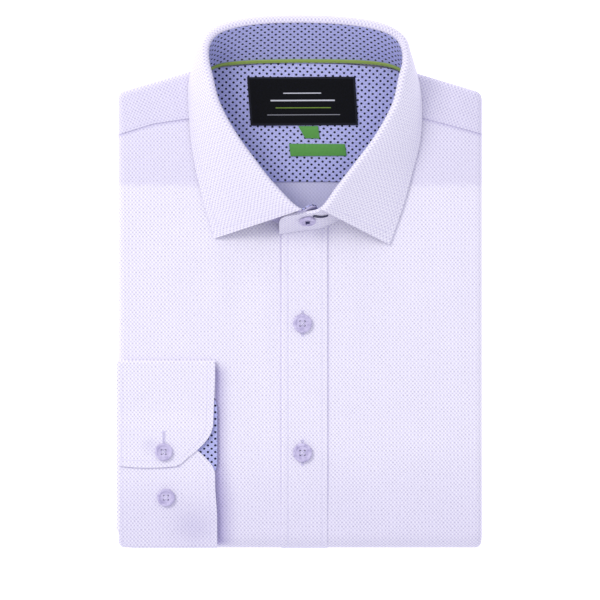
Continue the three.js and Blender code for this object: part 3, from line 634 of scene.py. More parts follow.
THREAD_RINGS = table(
    ("along", "thickness"),
    (-1, 0.35),
    (-0.6, 1),
    (0.6, 1),
    (1, 0.35),
)
THREAD_SIDES = [(1, 0), (0, 1), (-1, 0), (0, -1)]


def threads_between(starts, ends, up, width, height):
    """Closed threads between pairs of points, as points, faces and cloth places."""
    starts, ends = np.atleast_2d(starts), np.atleast_2d(ends)
    up = np.broadcast_to(up, starts.shape)
    middle, half = (starts + ends) / 2, (ends - starts) / 2
    side, rise = unit(np.cross(half, up)) * width / 2, unit(up) * height / 2
    points = np.array([
        middle + half * ring["along"] + ring["thickness"] * (across * side + over * rise)
        for ring in THREAD_RINGS for across, over in THREAD_SIDES])
    points = points.transpose(1, 0, 2).reshape(-1, 3)
    sides, rings = len(THREAD_SIDES), len(THREAD_RINGS)
    one = [[k * sides + j, (k + 1) * sides + j, (k + 1) * sides + (j + 1) % sides,
            k * sides + (j + 1) % sides] for k in range(rings - 1) for j in range(sides)]
    last = sides * rings - 1
    one += [[0, 1, 2, 3], [last, last - 1, last - 2, last - 3]]
    offsets = sides * rings * np.arange(len(starts))
    faces = (np.array(one)[None] + offsets[:, None, None]).reshape(-1, 4)
    return points, faces, np.zeros((len(points), 3))


def sewn(line, up, pitch=2.4, share=0.76, width=0.36, height=0.34):
    """A row of stitches along a line of points."""
    line, up = np.asarray(line, float), np.broadcast_to(up, np.shape(line))
    steps = np.linalg.norm(np.diff(line, axis=0), axis=1)
    travel = np.concatenate([[0], np.cumsum(steps)])
    count = max(1, int(travel[-1] / pitch))
    starts = (np.arange(count) + (1 - share) / 2) * travel[-1] / count
    ends = starts + share * pitch
    return threads_between(along_line(starts, travel, line), along_line(ends, travel, line),
                           along_line(starts, travel, up), width, height)


BUTTONHOLE_PITCH = 0.42
BUTTONHOLE_RIDGE = 0.55
BUTTONHOLE_THREAD = {"length": 0.85, "width": 0.46, "height": 0.55}
BUTTONHOLE_BAR = {"half_length": 1.2, "width": 0.7, "height": 0.6}


def buttonhole(line, up, ridge=BUTTONHOLE_RIDGE):
    """Two close ridges of cross stitches along a line, with a bar at each end."""
    line, up = np.array(line, float), np.broadcast_to(np.array(up, float), np.shape(line))
    count = int(np.linalg.norm(line[-1] - line[0]) / BUTTONHOLE_PITCH)
    shares, places = np.linspace(0, 1, len(line)), np.linspace(0, 1, count)
    middles, up = along_line(places, shares, line), along_line(places, shares, up)
    across = unit(np.cross(up, line[-1] - line[0]))
    half = BUTTONHOLE_THREAD["length"] / 2 * across
    sewing = []
    for aside in (-ridge, ridge):
        row = middles + aside * across
        sewing.append(threads_between(
            row - half, row + half, up, BUTTONHOLE_THREAD["width"], BUTTONHOLE_THREAD["height"]))
    for end in (0, -1):
        half = BUTTONHOLE_BAR["half_length"] * across[end]
        sewing.append(threads_between(middles[end] - half, middles[end] + half, up[end],
                                      BUTTONHOLE_BAR["width"], BUTTONHOLE_BAR["height"]))
    return sewing


# Height of each bundle of a crossed thread over the button's dish, and its share of the width
CROSS_RAISE = (0.25, 0.45)
CROSS_FLATNESS = 0.75


def crossed_thread(centre, first, second, up, spread, width=0.8):
    """Two crossed bundles of thread between a button's four holes."""
    centre, up = np.array(centre, float), np.array(up, float)
    bundles = []
    for raised, way in zip(CROSS_RAISE, (1, -1)):
        reach = spread * (np.array(first, float) + way * np.array(second, float))
        place = centre + up * raised
        bundles.append(threads_between(
            place - reach, place + reach, up, width, CROSS_FLATNESS * width))
    return bundles


def inset_line(grid, distance):
    """Points at a distance from the last column of a grid, one for each row."""
    lengths = travelled(grid, 1)
    goals = lengths[:, -1] - distance
    return np.concatenate([
        along_line([goal], length, row) for goal, length, row in zip(goals, lengths, grid)])


def border_seam(face, normals, inset, first, last, first_column=0):
    """Stitches along a grid's row first, inside its last column, and back along row last."""
    lengths = travelled(face, 1)
    border = inset_line(face, inset)[first + 1:last]
    border_up = inset_line(face + normals, inset)[first + 1:last] - border

    def across(row, values):
        inside = lengths[row] < lengths[row, -1] - inset
        inside[:first_column] = False
        return values[row][inside]

    line = [across(first, face), border, across(last, face)[::-1]]
    up = [across(first, normals), border_up, across(last, normals)[::-1]]
    return sewn(np.concatenate(line), np.concatenate(up))


def smoothstep(value, low, high):
    t = np.clip((value - low) / (high - low), 0, 1)
    return t * t * (3 - 2 * t)


def step_at(value, edge, step):
    """A smooth step between two distances from an edge."""
    return smoothstep(value, edge + step[0], edge + step[1])


# Soft creases on the top of the body: a ridge or a trough along a line, by its two ends,
# its half width and its height
CREASES = table(
    ("from", "to", "width", "height"),
    ((-57, 28), (-55, -22), 7, 0.62),
    ((-41, 22), (-44, -66), 8, -0.56),
    ((-24, 20), (-22, -96), 6, 0.5),
    ((-96, 12), (-70, -34), 10, 0.45),
    ((-112, 58), (-84, 20), 8, 0.42),
    ((32, 26), (38, -50), 8, 0.5),
    ((52, 14), (84, -40), 12, -0.5),
    ((98, 44), (110, -60), 9, 0.45),
    ((60, -90), (112, -128), 13, 0.45),
    ((30, -120), (64, -160), 9, -0.42),
    ((-44, -110), (-24, -158), 8, 0.39),
    ((0, 31), (13, 13), 2.2, -0.29),
    ((5, 33), (16, 20), 2, 0.22),
    ((-5, 9), (14, 1), 2.6, 0.23),
    ((-116, 124), (-98, 106), 3.2, 0.4),
    ((-106, 128), (-88, 109), 3, -0.36),
    ((-98, 132), (-80, 112), 3, 0.43),
    ((-88, 134), (-76, 118), 3, -0.36),
    ((84, 132), (96, 112), 3.4, 0.43),
    ((92, 134), (110, 108), 3.6, -0.4),
    ((104, 130), (118, 112), 3.4, 0.36),
)
CUFF_CREASES = table(
    ("from", "to", "width", "height"),
    ((-119, -68), (-94, -82), 4, 0.34),
    ((-112, -84), (-96, -72), 3.5, -0.26),
    ((-108, -104), (-98, -110), 2.6, 0.22),
    ((-82, -60), (-72, -90), 6, 0.3),
    ((-84, -180), (-68, -146), 6, -0.4),
    ((-118, -136), (-106, -166), 5, 0.26),
)


# How a crease runs out at its ends
CREASE_ENDS = (0.04, 0.96)
CREASE_POWER = 0.7

# The chest rises from a fold across it, and lies low again at the sides
CHEST_FOLD_Y = 66
CHEST_RISE = {"height": 0.7, "length": 34, "fullness": 0.6}
SIDE_FADE = 16


def crease_height(creases, x, y):
    """Height that a table of creases adds at each place."""
    height = np.zeros_like(x)
    for crease in creases:
        start, end = np.array(crease["from"], float), np.array(crease["to"], float)
        line = end - start
        t = ((x - start[0]) * line[0] + (y - start[1]) * line[1]) / (line @ line)
        t = np.clip(t, 0, 1)
        away = np.hypot(x - start[0] - t * line[0], y - start[1] - t * line[1])
        taper = np.sin(np.pi * np.clip(t, *CREASE_ENDS)) ** CREASE_POWER
        height = height + crease["height"] * taper * np.exp(-(away / crease["width"]) ** 2)
    return height


def creased(x, y):
    """Height that creases and the fold across the chest add to the top of the body."""
    x, y = np.broadcast_arrays(np.asarray(x, float), np.asarray(y, float))
    height = crease_height(CREASES, x, y)
    rise = np.clip((y - CHEST_FOLD_Y) / CHEST_RISE["length"], 0, 1)
    fullness = CHEST_RISE["fullness"]
    height = height + CHEST_RISE["height"] * rise * (1 + fullness - fullness * rise)
    return height * smoothstep(HALF_WIDTH - np.abs(x), 0, SIDE_FADE)


# Painted shade: how much darker the cloth is painted where it turns from the light and where shade
# falls on it
# Painted shade above the fold across the chest, which turns from the light
CHEST_PAINTED_SHADE = {"most": 0.23, "step": (-1, 2)}
# Painted shade, darker towards the bottom fold, where the body curves away from the light
HEM_PAINTED_SHADE = {"from": 100, "to": 168, "most": 0.2}
# Painted shade over the yoke of each shoulder, which turns from the light like the chest above its
# fold
YOKE_PAINTED_SHADE = {-1: 0.3, 1: 0.32}
# Painted shadow that the cuff casts on the front beside its right edge, and the steps that bound
# it
CUFF_SIDE_PAINTED_SHADOW = {"reach": 12, "more": 5, "more_from": (120, 150), "most": 1.25, "power": 1.6}
CUFF_SIDE_SHADOW_STEPS = {"top": (-2, 8), "bottom": (-12, -5), "left": (-6, -3)}
# Painted shadow under the collar's left leaf, beside the stand's over end
THROAT_PAINTED_SHADOW = {"x": -18, "y": 42, "reach": 10, "most": 0.35}
# Painted shade on the stand's under end, behind the leaf
UNDER_END_PAINTED_SHADE = {"most": 0.85, "stations": (-5, -3)}
# Painted shade on the leaf, by station: over its left side and most behind the neck
LEAF_PAINTED_SHADE = {"station": (2, 8, 10, 14, 16, 18), "painted_shade": (0.1, 0.12, 0.22, 0.2, 0.06, 0)}
# Patches of painted shade on the cuff
CUFF_PAINTED_SHADES = [
    {"at": (-102, -110), "reach": 5, "most": 0.2},
    {"at": (-72, -166), "reach": 12, "most": 0.28},
]
# Painted shade along the placket's edges and below the yoke seam; the left edge's grows going up
# over the given stretch
SEAM_PAINTED_SHADE = {"left": 0.45, "left_top": 0.3, "right": 0.6, "yoke": 0.65, "width": 0.9, "lap": 0.3}
SEAM_PAINTED_SHADE_TOP = (-30, 20)
# Painted shadow on the cuff's under end, along the edge of its over end
OVER_EDGE_PAINTED_SHADOW = {"most": 0.6, "reach": 1.4}
# Painted shade on the cuff, darker towards its bottom fold
CUFF_PAINTED_SHADE = {"from": 118, "to": 160, "most": 0.22}


def body_painted_shade(x, y):
    """Painted shade on the body: above the chest fold, towards the hem, under the collar at the
    throat, along its seams, and the painted shadow beside the cuff.
    """
    # Painted shade above the chest fold and towards the hem
    painted_shade = CHEST_PAINTED_SHADE["most"] * step_at(y, CHEST_FOLD_Y, CHEST_PAINTED_SHADE["step"])
    painted_shade = painted_shade + HEM_PAINTED_SHADE["most"] * smoothstep(-y, HEM_PAINTED_SHADE["from"], HEM_PAINTED_SHADE["to"])
    # Painted shadow under the collar's left leaf at the throat
    throat = np.hypot(x - THROAT_PAINTED_SHADOW["x"], y - THROAT_PAINTED_SHADOW["y"]) / THROAT_PAINTED_SHADOW["reach"]
    painted_shade = painted_shade + THROAT_PAINTED_SHADOW["most"] * np.exp(-throat ** 2)
    # Painted shade along the placket's edges and below the yoke seam
    left = SEAM_PAINTED_SHADE["left"] + SEAM_PAINTED_SHADE["left_top"] * smoothstep(y, *SEAM_PAINTED_SHADE_TOP)
    for most, away in ((left, PLACKET_LEFT - x), (SEAM_PAINTED_SHADE["right"], x - PLACKET_RIGHT),
                       (SEAM_PAINTED_SHADE["yoke"], seam_y(x) - y)):
        near = np.exp(-(np.maximum(away, 0) / SEAM_PAINTED_SHADE["width"]) ** 2)
        near = near * (away > -SEAM_PAINTED_SHADE["lap"])
        painted_shade = np.maximum(painted_shade, most * near * top_share(y))
    # Painted shadow beside the cuff's right edge
    more = CUFF_SIDE_PAINTED_SHADOW["more"] * smoothstep(-y, *CUFF_SIDE_PAINTED_SHADOW["more_from"])
    beside = np.clip(1 - (x - CUFF_RIGHT) / (CUFF_SIDE_PAINTED_SHADOW["reach"] + more), 0, 1)
    beside = beside * step_at(-y, -CUFF_TOP_Y, CUFF_SIDE_SHADOW_STEPS["top"])
    beside = beside * step_at(y, FOLD_AXIS_Y, CUFF_SIDE_SHADOW_STEPS["bottom"])
    beside = beside * step_at(x, CUFF_RIGHT, CUFF_SIDE_SHADOW_STEPS["left"])
    return painted_shade + CUFF_SIDE_PAINTED_SHADOW["most"] * beside ** CUFF_SIDE_PAINTED_SHADOW["power"]


TOP_FADE = (0, 30)


def top_share(travel):
    """1 on the top of the body, fading to 0 towards its bottom fold."""
    return step_at(travel, FOLD_AXIS_Y, TOP_FADE)


def wrapped(x, travel, height):
    """Points on the body: travel goes down the front, round the bottom fold and up the tail."""
    turn = np.clip((FOLD_AXIS_Y - travel) / MID_HEIGHT, 0, math.pi)
    back = np.maximum(TAIL_START - travel, 0)
    y = np.where(travel > FOLD_AXIS_Y, travel, FOLD_AXIS_Y + back) - height * np.sin(turn)
    return grid_of(x, y, MID_HEIGHT + height * np.cos(turn))


# Places of the first columns beside the placket, close together where its edge lies
EDGE_COLUMNS = (0, 1.6, 2.6, 2.9, 3.1, 3.5, 4, 4.7, 5.6)
EVEN_COLUMNS_FROM = 8
SIDE_ANGLES = np.linspace(math.pi / 2, -math.pi / 2, 13)[1:]


def side_section(inner_x, inset, columns):
    """Section of the body from an inner edge out to the side fold, round it and back in:
    x, height over the middle, and place along the cloth."""
    radius = LOBE_RADIUS - inset
    edge_x = HALF_WIDTH - LOBE_RADIUS
    top_x = np.concatenate([
        inner_x + np.array(EDGE_COLUMNS),
        np.linspace(inner_x + EVEN_COLUMNS_FROM, edge_x, columns - len(EDGE_COLUMNS)),
    ])
    back_x = np.linspace(edge_x, edge_x - RETURN_WIDTH, 6)[1:]
    x = np.concatenate([top_x, edge_x + radius * np.cos(SIDE_ANGLES), back_x])
    height = np.concatenate([
        np.full(columns, LOBE_MIDDLE + radius),
        LOBE_MIDDLE + radius * np.sin(SIDE_ANGLES),
        np.full(len(back_x), LOBE_MIDDLE - radius),
    ])
    cloth = np.concatenate([
        top_x,
        edge_x + LOBE_RADIUS * (math.pi / 2 - SIDE_ANGLES),
        edge_x + math.pi * LOBE_RADIUS + edge_x - back_x,
    ])
    return x, height, cloth


# Collar lines, smoothed through the stations

class SmoothLine:
    """Centripetal Catmull-Rom curve through points, from 0 at the first to 1 at the last."""

    def __init__(self, points):
        self.points = np.array(points, float)

    def at(self, share):
        points, last = self.points, len(self.points) - 1
        place = share * last
        index = min(int(place), last - 1)
        weight = place - index
        p1, p2 = points[index], points[index + 1]
        p0 = points[index - 1] if index > 0 else 2 * p1 - p2
        p3 = points[index + 2] if index + 2 <= last else 2 * p2 - p1
        d0, d1, d2 = (max(np.linalg.norm(b - a), 1e-6) ** 0.5
                      for a, b in ((p0, p1), (p1, p2), (p2, p3)))
        m1 = ((p1 - p0) / d0 - (p2 - p0) / (d0 + d1) + (p2 - p1) / d1) * d1
        m2 = ((p2 - p1) / d1 - (p3 - p1) / (d1 + d2) + (p3 - p2) / d2) * d1
        c2 = -3 * p1 + 3 * p2 - 2 * m1 - m2
        c3 = 2 * p1 - 2 * p2 + m1 + m2
        return p1 + m1 * weight + c2 * weight ** 2 + c3 * weight ** 3


stand_seam = SmoothLine(column(STAND_STATIONS, "seam"))
stand_top = SmoothLine(column(STAND_STATIONS, "top"))
leaf_edge = SmoothLine([s["leaf"] for s in STAND_STATIONS if "leaf" in s])


def stand_at(station):
    share = station / LAST_STATION
    return stand_seam.at(share), stand_top.at(share)


def end_share(station, seam, height):
    """Share of the stand's height that the rounded corner of its nearer end leaves."""
    near_start = station < STAND_END_STATIONS
    near_end = station > LAST_STATION - STAND_END_STATIONS
    if not near_start and not near_end:
        return 1
    end_seam, _ = stand_at(0 if near_start else LAST_STATION)
    reach = max(0, STAND_END_RADIUS - np.linalg.norm(seam - end_seam))
    return 1 - (STAND_END_RADIUS - math.sqrt(STAND_END_RADIUS ** 2 - reach ** 2)) / height


def stand_grid(first, last, width=None, columns=STAND_COLUMNS):
    """Grid over the stand between two stations, up to its top or to a width over the seam."""
    rows = []
    for i in range((last - first) * STATION_STEPS + 1):
        station = first + i / STATION_STEPS
        seam, top = stand_at(station)
        height = np.linalg.norm(top - seam)
        share = width / height if width else end_share(station, seam, height)
        t = np.linspace(0 if width else -STAND_SINK, share, columns + 1)[:, None]
        rows.append(seam + (top - seam) * t)
    return np.array(rows)


def leaf_line(start, edge, stand_direction, bulge):
    """One line across the leaf: up from the stand, over the roll and down to its edge."""
    outward = np.array([edge[0] - start[0], edge[1] - start[1], 0])
    reach = np.linalg.norm(outward)
    outward /= reach
    drop = edge[2] - start[2]
    start_angle = math.atan2(stand_direction[2], stand_direction @ outward)

    def rolled(angle):
        return np.array([
            LEAF_ROLL_RADIUS * (math.sin(start_angle) - math.sin(angle)),
            LEAF_ROLL_RADIUS * (math.cos(angle) - math.cos(start_angle)),
        ])

    crest = rolled(0)
    end_angle = math.atan2(drop - crest[1], reach - crest[0]) + bulge
    angles = np.linspace(start_angle, end_angle, LEAF_ROLL_STEPS + 1)
    line = [rolled(angle) for angle in angles]
    start_of_fall, end = line[-1], np.array([reach, drop])
    length = np.linalg.norm(end - start_of_fall)
    control = start_of_fall + length / 2 * np.array([math.cos(end_angle), math.sin(end_angle)])
    for i in range(1, LEAF_FALL_STEPS + 1):
        t = i / LEAF_FALL_STEPS
        line.append((1 - t) ** 2 * start_of_fall + 2 * t * (1 - t) * control + t ** 2 * end)
    flat = np.array(line)
    return start + flat[:, :1] * outward + flat[:, 1:] * np.array([0, 0, 1])


def leaf_grid():
    """The leaf, rounded outwards at the sides and closer to the fronts towards its points."""
    rows = []
    steps = (LAST_LEAF_STATION - FIRST_LEAF_STATION) * STATION_STEPS
    hug_steps = LEAF_HUG["stations"] * STATION_STEPS
    for i in range(steps + 1):
        seam, top = stand_at(FIRST_LEAF_STATION + i / STATION_STEPS)
        direction = (top - seam) / np.linalg.norm(top - seam)
        bulge = LEAF_BULGE - LEAF_HUG["left"] * smoothstep(-i, -hug_steps, 0)
        bulge = bulge - LEAF_HUG["right"] * smoothstep(i, steps - hug_steps, steps)
        start = top + LEAF_RISE * direction
        rows.append(leaf_line(start, leaf_edge.at(i / steps), direction, bulge))
    return np.array(rows)


def neck_outline(first, last, count, outward):
    """Points along the neck seam between two shares of it, moved outward."""
    points = np.array([stand_seam.at(s)[:2] for s in np.linspace(first, last, count)])
    along = unit(np.gradient(points, axis=0)) * np.sign(last - first)
    return points + outward * np.stack([-along[:, 1], along[:, 0]], axis=1)


def neck_front_y(x):
    """Where the front edge of the neck hole lies, by x, under the stand's wall."""
    line = np.concatenate([
        neck_outline(first, last, 40, NECK_UNDERLAP) for first, last in NECK_FRONT_SHARES])
    return np.interp(x, line[:, 0], line[:, 1])


def over_end_y(x):
    """Where the seam of the stand's over end lies, by x."""
    seams = np.array(column(STAND_STATIONS[OVER_END_STATION:], "seam"))[::-1]
    return np.interp(x, seams[:, 0], seams[:, 1]) - NECK_UNDERLAP


def shoulder_y(x):
    """Where the body's outline ends at the top, by x."""
    outline = SHOULDER_OUTLINE[::-1]
    return np.interp(np.abs(x), column(outline, "x"), column(outline, "y"))


def seam_y(x):
    return np.interp(x, column(YOKE_SEAM, "x"), column(YOKE_SEAM, "y"))


def hem_y(x):
    wave = (1 + np.cos(np.pi * np.asarray(x) / HALF_WIDTH)) / 2
    return HEM_SIDE + (HEM_CENTRE - HEM_SIDE) * wave


# Fronts

TOP_ROWS = 96
FOLD_ROWS = 14
TAIL_ROWS = 24
FRONT_COLUMNS = 44
# Where the yoke seam runs under the collar, on each side
NECK_JUNCTION = {-1: 66, 1: 74}
UNDER_YOKE_STEP = (-1.2, 0.8)


def front_rows(top, tail_end):
    """Travel of each row of a column, from the column's top edge down to the tail's hem."""
    share = np.linspace(0, 1, TOP_ROWS)[:-1]
    straight = top[None, :] + (FOLD_AXIS_Y - top[None, :]) * share[:, None]
    fold = np.linspace(FOLD_AXIS_Y, TAIL_START, FOLD_ROWS)[:-1]
    tail = TAIL_START + (tail_end[None, :] - TAIL_START) * np.linspace(0, 1, TAIL_ROWS)[:, None]
    columns = len(top)
    return np.concatenate([straight, np.repeat(fold[:, None], columns, axis=1), tail])


def front_wall(side):
    inner_x = (PLACKET_RIGHT if side > 0 else -PLACKET_LEFT) - UNDERLAP
    grids = []
    for inset in (0, BODY_CLOTH):
        from_middle, height, cloth = side_section(inner_x, inset, FRONT_COLUMNS)
        x = side * from_middle
        seam, on_top = seam_y(x), height > LOBE_MIDDLE
        open_neck = from_middle < NECK_JUNCTION[side]
        top = np.where(open_neck, np.minimum(neck_front_y(x), seam), seam + UNDERLAP)
        travel = front_rows(top, TAIL_START - (hem_y(x) - FOLD_AXIS_Y))
        lift = creased(x, travel) * top_share(travel) * on_top
        lift = lift - UNDERLAP_DROP * smoothstep(travel - seam, *UNDER_YOKE_STEP) * on_top
        grids.append(wrapped(x, travel, height + lift))
    return wall(grids[0], grids[1], grid_of(side * cloth, travel, body_painted_shade(x, travel)))


def build_fronts():
    make_piece("front_left_cloth", [front_wall(-1)], CLOTH, ["front_left"])
    make_piece("front_right_cloth", [front_wall(1)], CLOTH, ["front_right"])


# Yoke

CORNER_REACH = 2.0
YOKE_ROWS = {"side": 14, "corner": 9, "shoulder": 40}
YOKE_COLUMNS = 26
YOKE_RAISE = 0.45
YOKE_STITCH_INSET = 1.7
YOKE_GRAIN = {-1: math.radians(17), 1: math.radians(-20)}
YOKE_INNER_START_X = 112
YOKE_INNER_CORNER_X = 100
YOKE_INNER_SEAM_X = 92
YOKE_JUNCTION_LAP = 4
YOKE_NECK_SHARES = {-1: (0.27, 0.36), 1: (0.71, 0.612)}
YOKE_RETURN_WIDTH = 8
# How far the edge behind the neck turns over at its top, in degrees by the distance from x = 0
BACK_NECK_TURN = {"x": (50, 74), "degrees": (6, 60)}
SHOULDER_END_X = {-1: 65.6, 1: 74}


def meet(first, second):
    """Where two lines meet, each as (point, direction)."""
    (p, d), (q, e) = first, second
    cross = d[0] * e[1] - d[1] * e[0]
    t = ((q[0] - p[0]) * e[1] - (q[1] - p[1]) * e[0]) / cross
    return p + t * d


def edge_line(inset, side):
    """The body's edge from the yoke seam to the shoulder's inner end, moved inward."""
    outline = [np.array([p["x"], p["y"]], float) for p in SHOULDER_OUTLINE]
    shoulder = outline[2] - outline[1]
    shoulder /= np.linalg.norm(shoulder)
    inward = np.array([-shoulder[1], shoulder[0]])
    side_x = HALF_WIDTH - inset
    upwards = np.array([0.0, 1.0])
    on_shoulder = outline[1] + inset * inward
    corner = meet((np.array([side_x, 0.0]), upwards), (on_shoulder, shoulder))
    reach = CORNER_REACH + (outline[1][1] - outline[0][1])
    low, high = corner - np.array([0, reach]), corner + reach * shoulder
    start = np.array([side_x, seam_y(side * side_x)])
    end = meet((on_shoulder, shoulder), (np.array([SHOULDER_END_X[side], 0.0]), upwards))
    t = np.linspace(0, 1, YOKE_ROWS["corner"])[:, None]
    bend = (1 - t) ** 2 * low + 2 * t * (1 - t) * corner + t ** 2 * high
    line = np.concatenate([
        np.linspace(start, low, YOKE_ROWS["side"])[:-1],
        bend[:-1],
        np.linspace(high, end, YOKE_ROWS["shoulder"]),
    ])
    return line * np.array([side, 1])


def yoke_inner_line(side):
    """Inner edge of a shoulder: along the seam, then up the neck hole."""
    seam_x = np.concatenate([
        np.linspace(YOKE_INNER_START_X, YOKE_INNER_CORNER_X, YOKE_ROWS["side"])[:-1],
        np.linspace(YOKE_INNER_CORNER_X, YOKE_INNER_SEAM_X, YOKE_ROWS["corner"])[:-1],
        np.linspace(YOKE_INNER_SEAM_X, NECK_JUNCTION[side] + YOKE_JUNCTION_LAP,
                    YOKE_ROWS["shoulder"] // 2)[:-1],
    ])
    seam = np.stack([seam_x * side, seam_y(seam_x * side)], axis=1)
    rest = sum(YOKE_ROWS.values()) - 2 - len(seam)
    neck = neck_outline(*YOKE_NECK_SHARES[side], rest, YOKE_NECK_CLEARANCE)
    return np.concatenate([seam, neck])


def yoke_wall(side):
    grids = []
    inner_line = yoke_inner_line(side)
    edge = edge_line(LOBE_RADIUS, side)
    outermost = edge_line(0, side)
    rows = len(edge)
    t = np.linspace(0, 1, YOKE_COLUMNS)
    returns = np.linspace(0, YOKE_RETURN_WIDTH, 5)[None, 1:, None]
    inward = unit(inner_line[:rows] - edge)
    for inset in (0, BODY_CLOTH):
        radius = LOBE_RADIUS - inset
        top = inner_line[:rows, None] + (edge - inner_line[:rows])[:, None] * t[None, :, None]
        lift = creased(top[..., 0], top[..., 1]) + YOKE_RAISE
        top = np.dstack([top, MID_HEIGHT + LOBE_MIDDLE + radius + lift])
        share = (radius / LOBE_RADIUS * np.cos(SIDE_ANGLES))[None, :, None]
        arc = edge[:, None] + (outermost - edge)[:, None] * share
        arc_z = MID_HEIGHT + LOBE_MIDDLE + radius * np.sin(SIDE_ANGLES)
        arc_z = arc_z + lift[:, -1:] * np.clip(np.sin(SIDE_ANGLES), 0, 1)
        arc = np.dstack([arc, arc_z])
        back = edge[:, None] + inward[:, None] * returns
        back = np.dstack([back, np.full(back.shape[:2], MID_HEIGHT + LOBE_MIDDLE - radius)])
        grids.append(np.concatenate([top, arc, back], axis=1))
    outer = grids[0]
    turn = YOKE_GRAIN[side]
    drop = np.clip(MID_HEIGHT * 2 - outer[..., 2], 0, None)
    # Cloth places, with painted shade over each shoulder as their third part
    weave = grid_of(
        outer[..., 0] * math.cos(turn) + outer[..., 1] * math.sin(turn) + side * drop,
        outer[..., 1] * math.cos(turn) - outer[..., 0] * math.sin(turn),
        YOKE_PAINTED_SHADE[side],
    )
    return wall(grids[0], grids[1], weave)


def back_neck_wall():
    """The yoke's edge behind the neck, below the stand."""
    x = np.linspace(-SHOULDER_END_X[-1], SHOULDER_END_X[1], 60)
    y = shoulder_y(x)
    turn = np.interp(np.abs(x), BACK_NECK_TURN["x"], BACK_NECK_TURN["degrees"])
    top = np.radians(turn)
    angles = top[:, None] + (-math.pi / 2 - top)[:, None] * np.linspace(0, 1, 12)[None, :]
    grids = []
    for inset in (0, BODY_CLOTH):
        radius = LOBE_RADIUS - inset
        edge_y = y[:, None] - LOBE_RADIUS + radius * np.cos(angles)
        z = MID_HEIGHT + LOBE_MIDDLE + radius * np.sin(angles)
        grids.append(grid_of(x[:, None], edge_y, z))
    return wall(grids[0], grids[1], grids[0][..., :2])


def build_yoke():
    walls = [yoke_wall(-1), yoke_wall(1), back_neck_wall()]
    make_piece("yoke_cloth", walls, CLOTH, ["yoke"])
    rows = []
    for side in (-1, 1):
        x = side * np.linspace(HALF_WIDTH - LOBE_RADIUS, NECK_JUNCTION[side] + 6, 60)
        y = seam_y(x) + YOKE_STITCH_INSET
        z = STACK_HEIGHT + YOKE_RAISE + creased(x, y)
        rows.append(sewn(grid_of(x, y, z), (0, 0, 1)))
    make_piece("yoke_stitches", rows, PALE_THREAD)


# Placket

def at_stitches(x, stitch):
    """1 on a row of the placket's stitches, fading to 0 beside it."""
    return np.exp(-((x - stitch["x"]) / STITCH_SINK["half_width"]) ** 2)


def placket_height(x):
    """Height of the placket over the fronts: a welt along each edge, inside its stitching."""
    height = np.full_like(x, PLACKET_RAISE)
    for stitch in PLACKET_STITCHES:
        middle = (stitch["edge"] + stitch["x"]) / 2
        height = height + WELT_HEIGHT * np.exp(-((x - middle) / WELT_WIDTH) ** 2)
        height = height - STITCH_SINK["depth"] * at_stitches(x, stitch)
    from_edge = np.minimum(x - PLACKET_LEFT, PLACKET_RIGHT - x)
    rounding = np.clip(1 - from_edge / PLACKET_ROUND["reach"], 0, 1) ** 2
    return height - PLACKET_ROUND["drop"] * rounding


def placket_surface(x, travel):
    """Height of the placket's face over the middle of the stack, with a faint ripple."""
    lift = placket_height(x) * (1 - smoothstep(-travel, -FOLD_AXIS_Y, -TAIL_START))
    ripple = 0.05 * np.sin(travel / 7.3 + 0.4 * np.sin(travel / 19))
    return MID_HEIGHT + lift + (ripple + creased(x, travel)) * top_share(travel)


def placket_painted_shade(x, travel):
    """Painted shade on the placket: darker towards the hem, along its rows of stitching, and
    towards the collar.
    """
    painted_shade = HEM_PAINTED_SHADE["most"] * smoothstep(-travel, HEM_PAINTED_SHADE["from"], HEM_PAINTED_SHADE["to"])
    # Painted shade in the dents along the stitching
    for stitch in PLACKET_STITCHES:
        painted_shade = painted_shade + STITCH_SINK["painted_shade"] * at_stitches(x, stitch)
    return painted_shade + 0.1 * smoothstep(travel, 22, 34)


def build_placket():
    x = np.concatenate([
        PLACKET_LEFT + PLACKET_EDGE_COLUMNS,
        np.linspace(PLACKET_LEFT + 1, PLACKET_RIGHT - 1, PLACKET_COLUMNS),
        PLACKET_RIGHT - PLACKET_EDGE_COLUMNS[::-1],
    ])
    travel = front_rows(over_end_y(x), TAIL_START - (hem_y(x) - FOLD_AXIS_Y))
    height = placket_surface(x, travel)
    outer, inner = wrapped(x, travel, height), wrapped(x, travel, height - PLACKET_CLOTH)
    weave = grid_of(x, travel, placket_painted_shade(x, travel))
    make_piece("placket_cloth", [wall(outer, inner, weave)], CLOTH, ["placket"])
    rows = []
    for stitch in PLACKET_STITCHES:
        travel = np.linspace(over_end_y(stitch["x"]) - 1, TAIL_START, 240)
        x = np.full_like(travel, stitch["x"])
        height = placket_surface(x, travel)
        line = wrapped(x, travel, height)
        rows.append(sewn(line, wrapped(x, travel, height + 1) - line))
    make_piece("placket_stitches", rows, PALE_THREAD)


# Inside of the neck

def build_lining():
    """The dotted cloth inside the neck, with slow waves and a rise towards the back seam."""
    x = np.linspace(-LINING_HALF_WIDTH, LINING_HALF_WIDTH, LINING_GRID[0])[:, None]
    back_y = np.minimum(LINING_BACK_Y, shoulder_y(x) - LINING_INSET)
    y = LINING_HEM + (back_y - LINING_HEM) * np.linspace(0, 1, LINING_GRID[1])
    rise = LINING_RISE["height"] * smoothstep(y, LINING_RISE["from"], LINING_RISE["to"])
    wave = 0.14 * np.sin(x / 11 + 0.8 * np.sin(y / 17)) + 0.1 * np.sin(y / 9)
    top = grid_of(x, y, LINING_TOP + rise + wave)
    base = top - np.array([0, 0, LINING_CLOTH])
    cos, sin = math.cos(LINING_TURN), math.sin(LINING_TURN)
    weave = grid_of(x * cos + y * sin, y * cos - x * sin)
    make_piece("yoke_lining_cloth", [wall(top, base, weave)], DOTTED,
               ["yoke_lining"], rim=0.2)


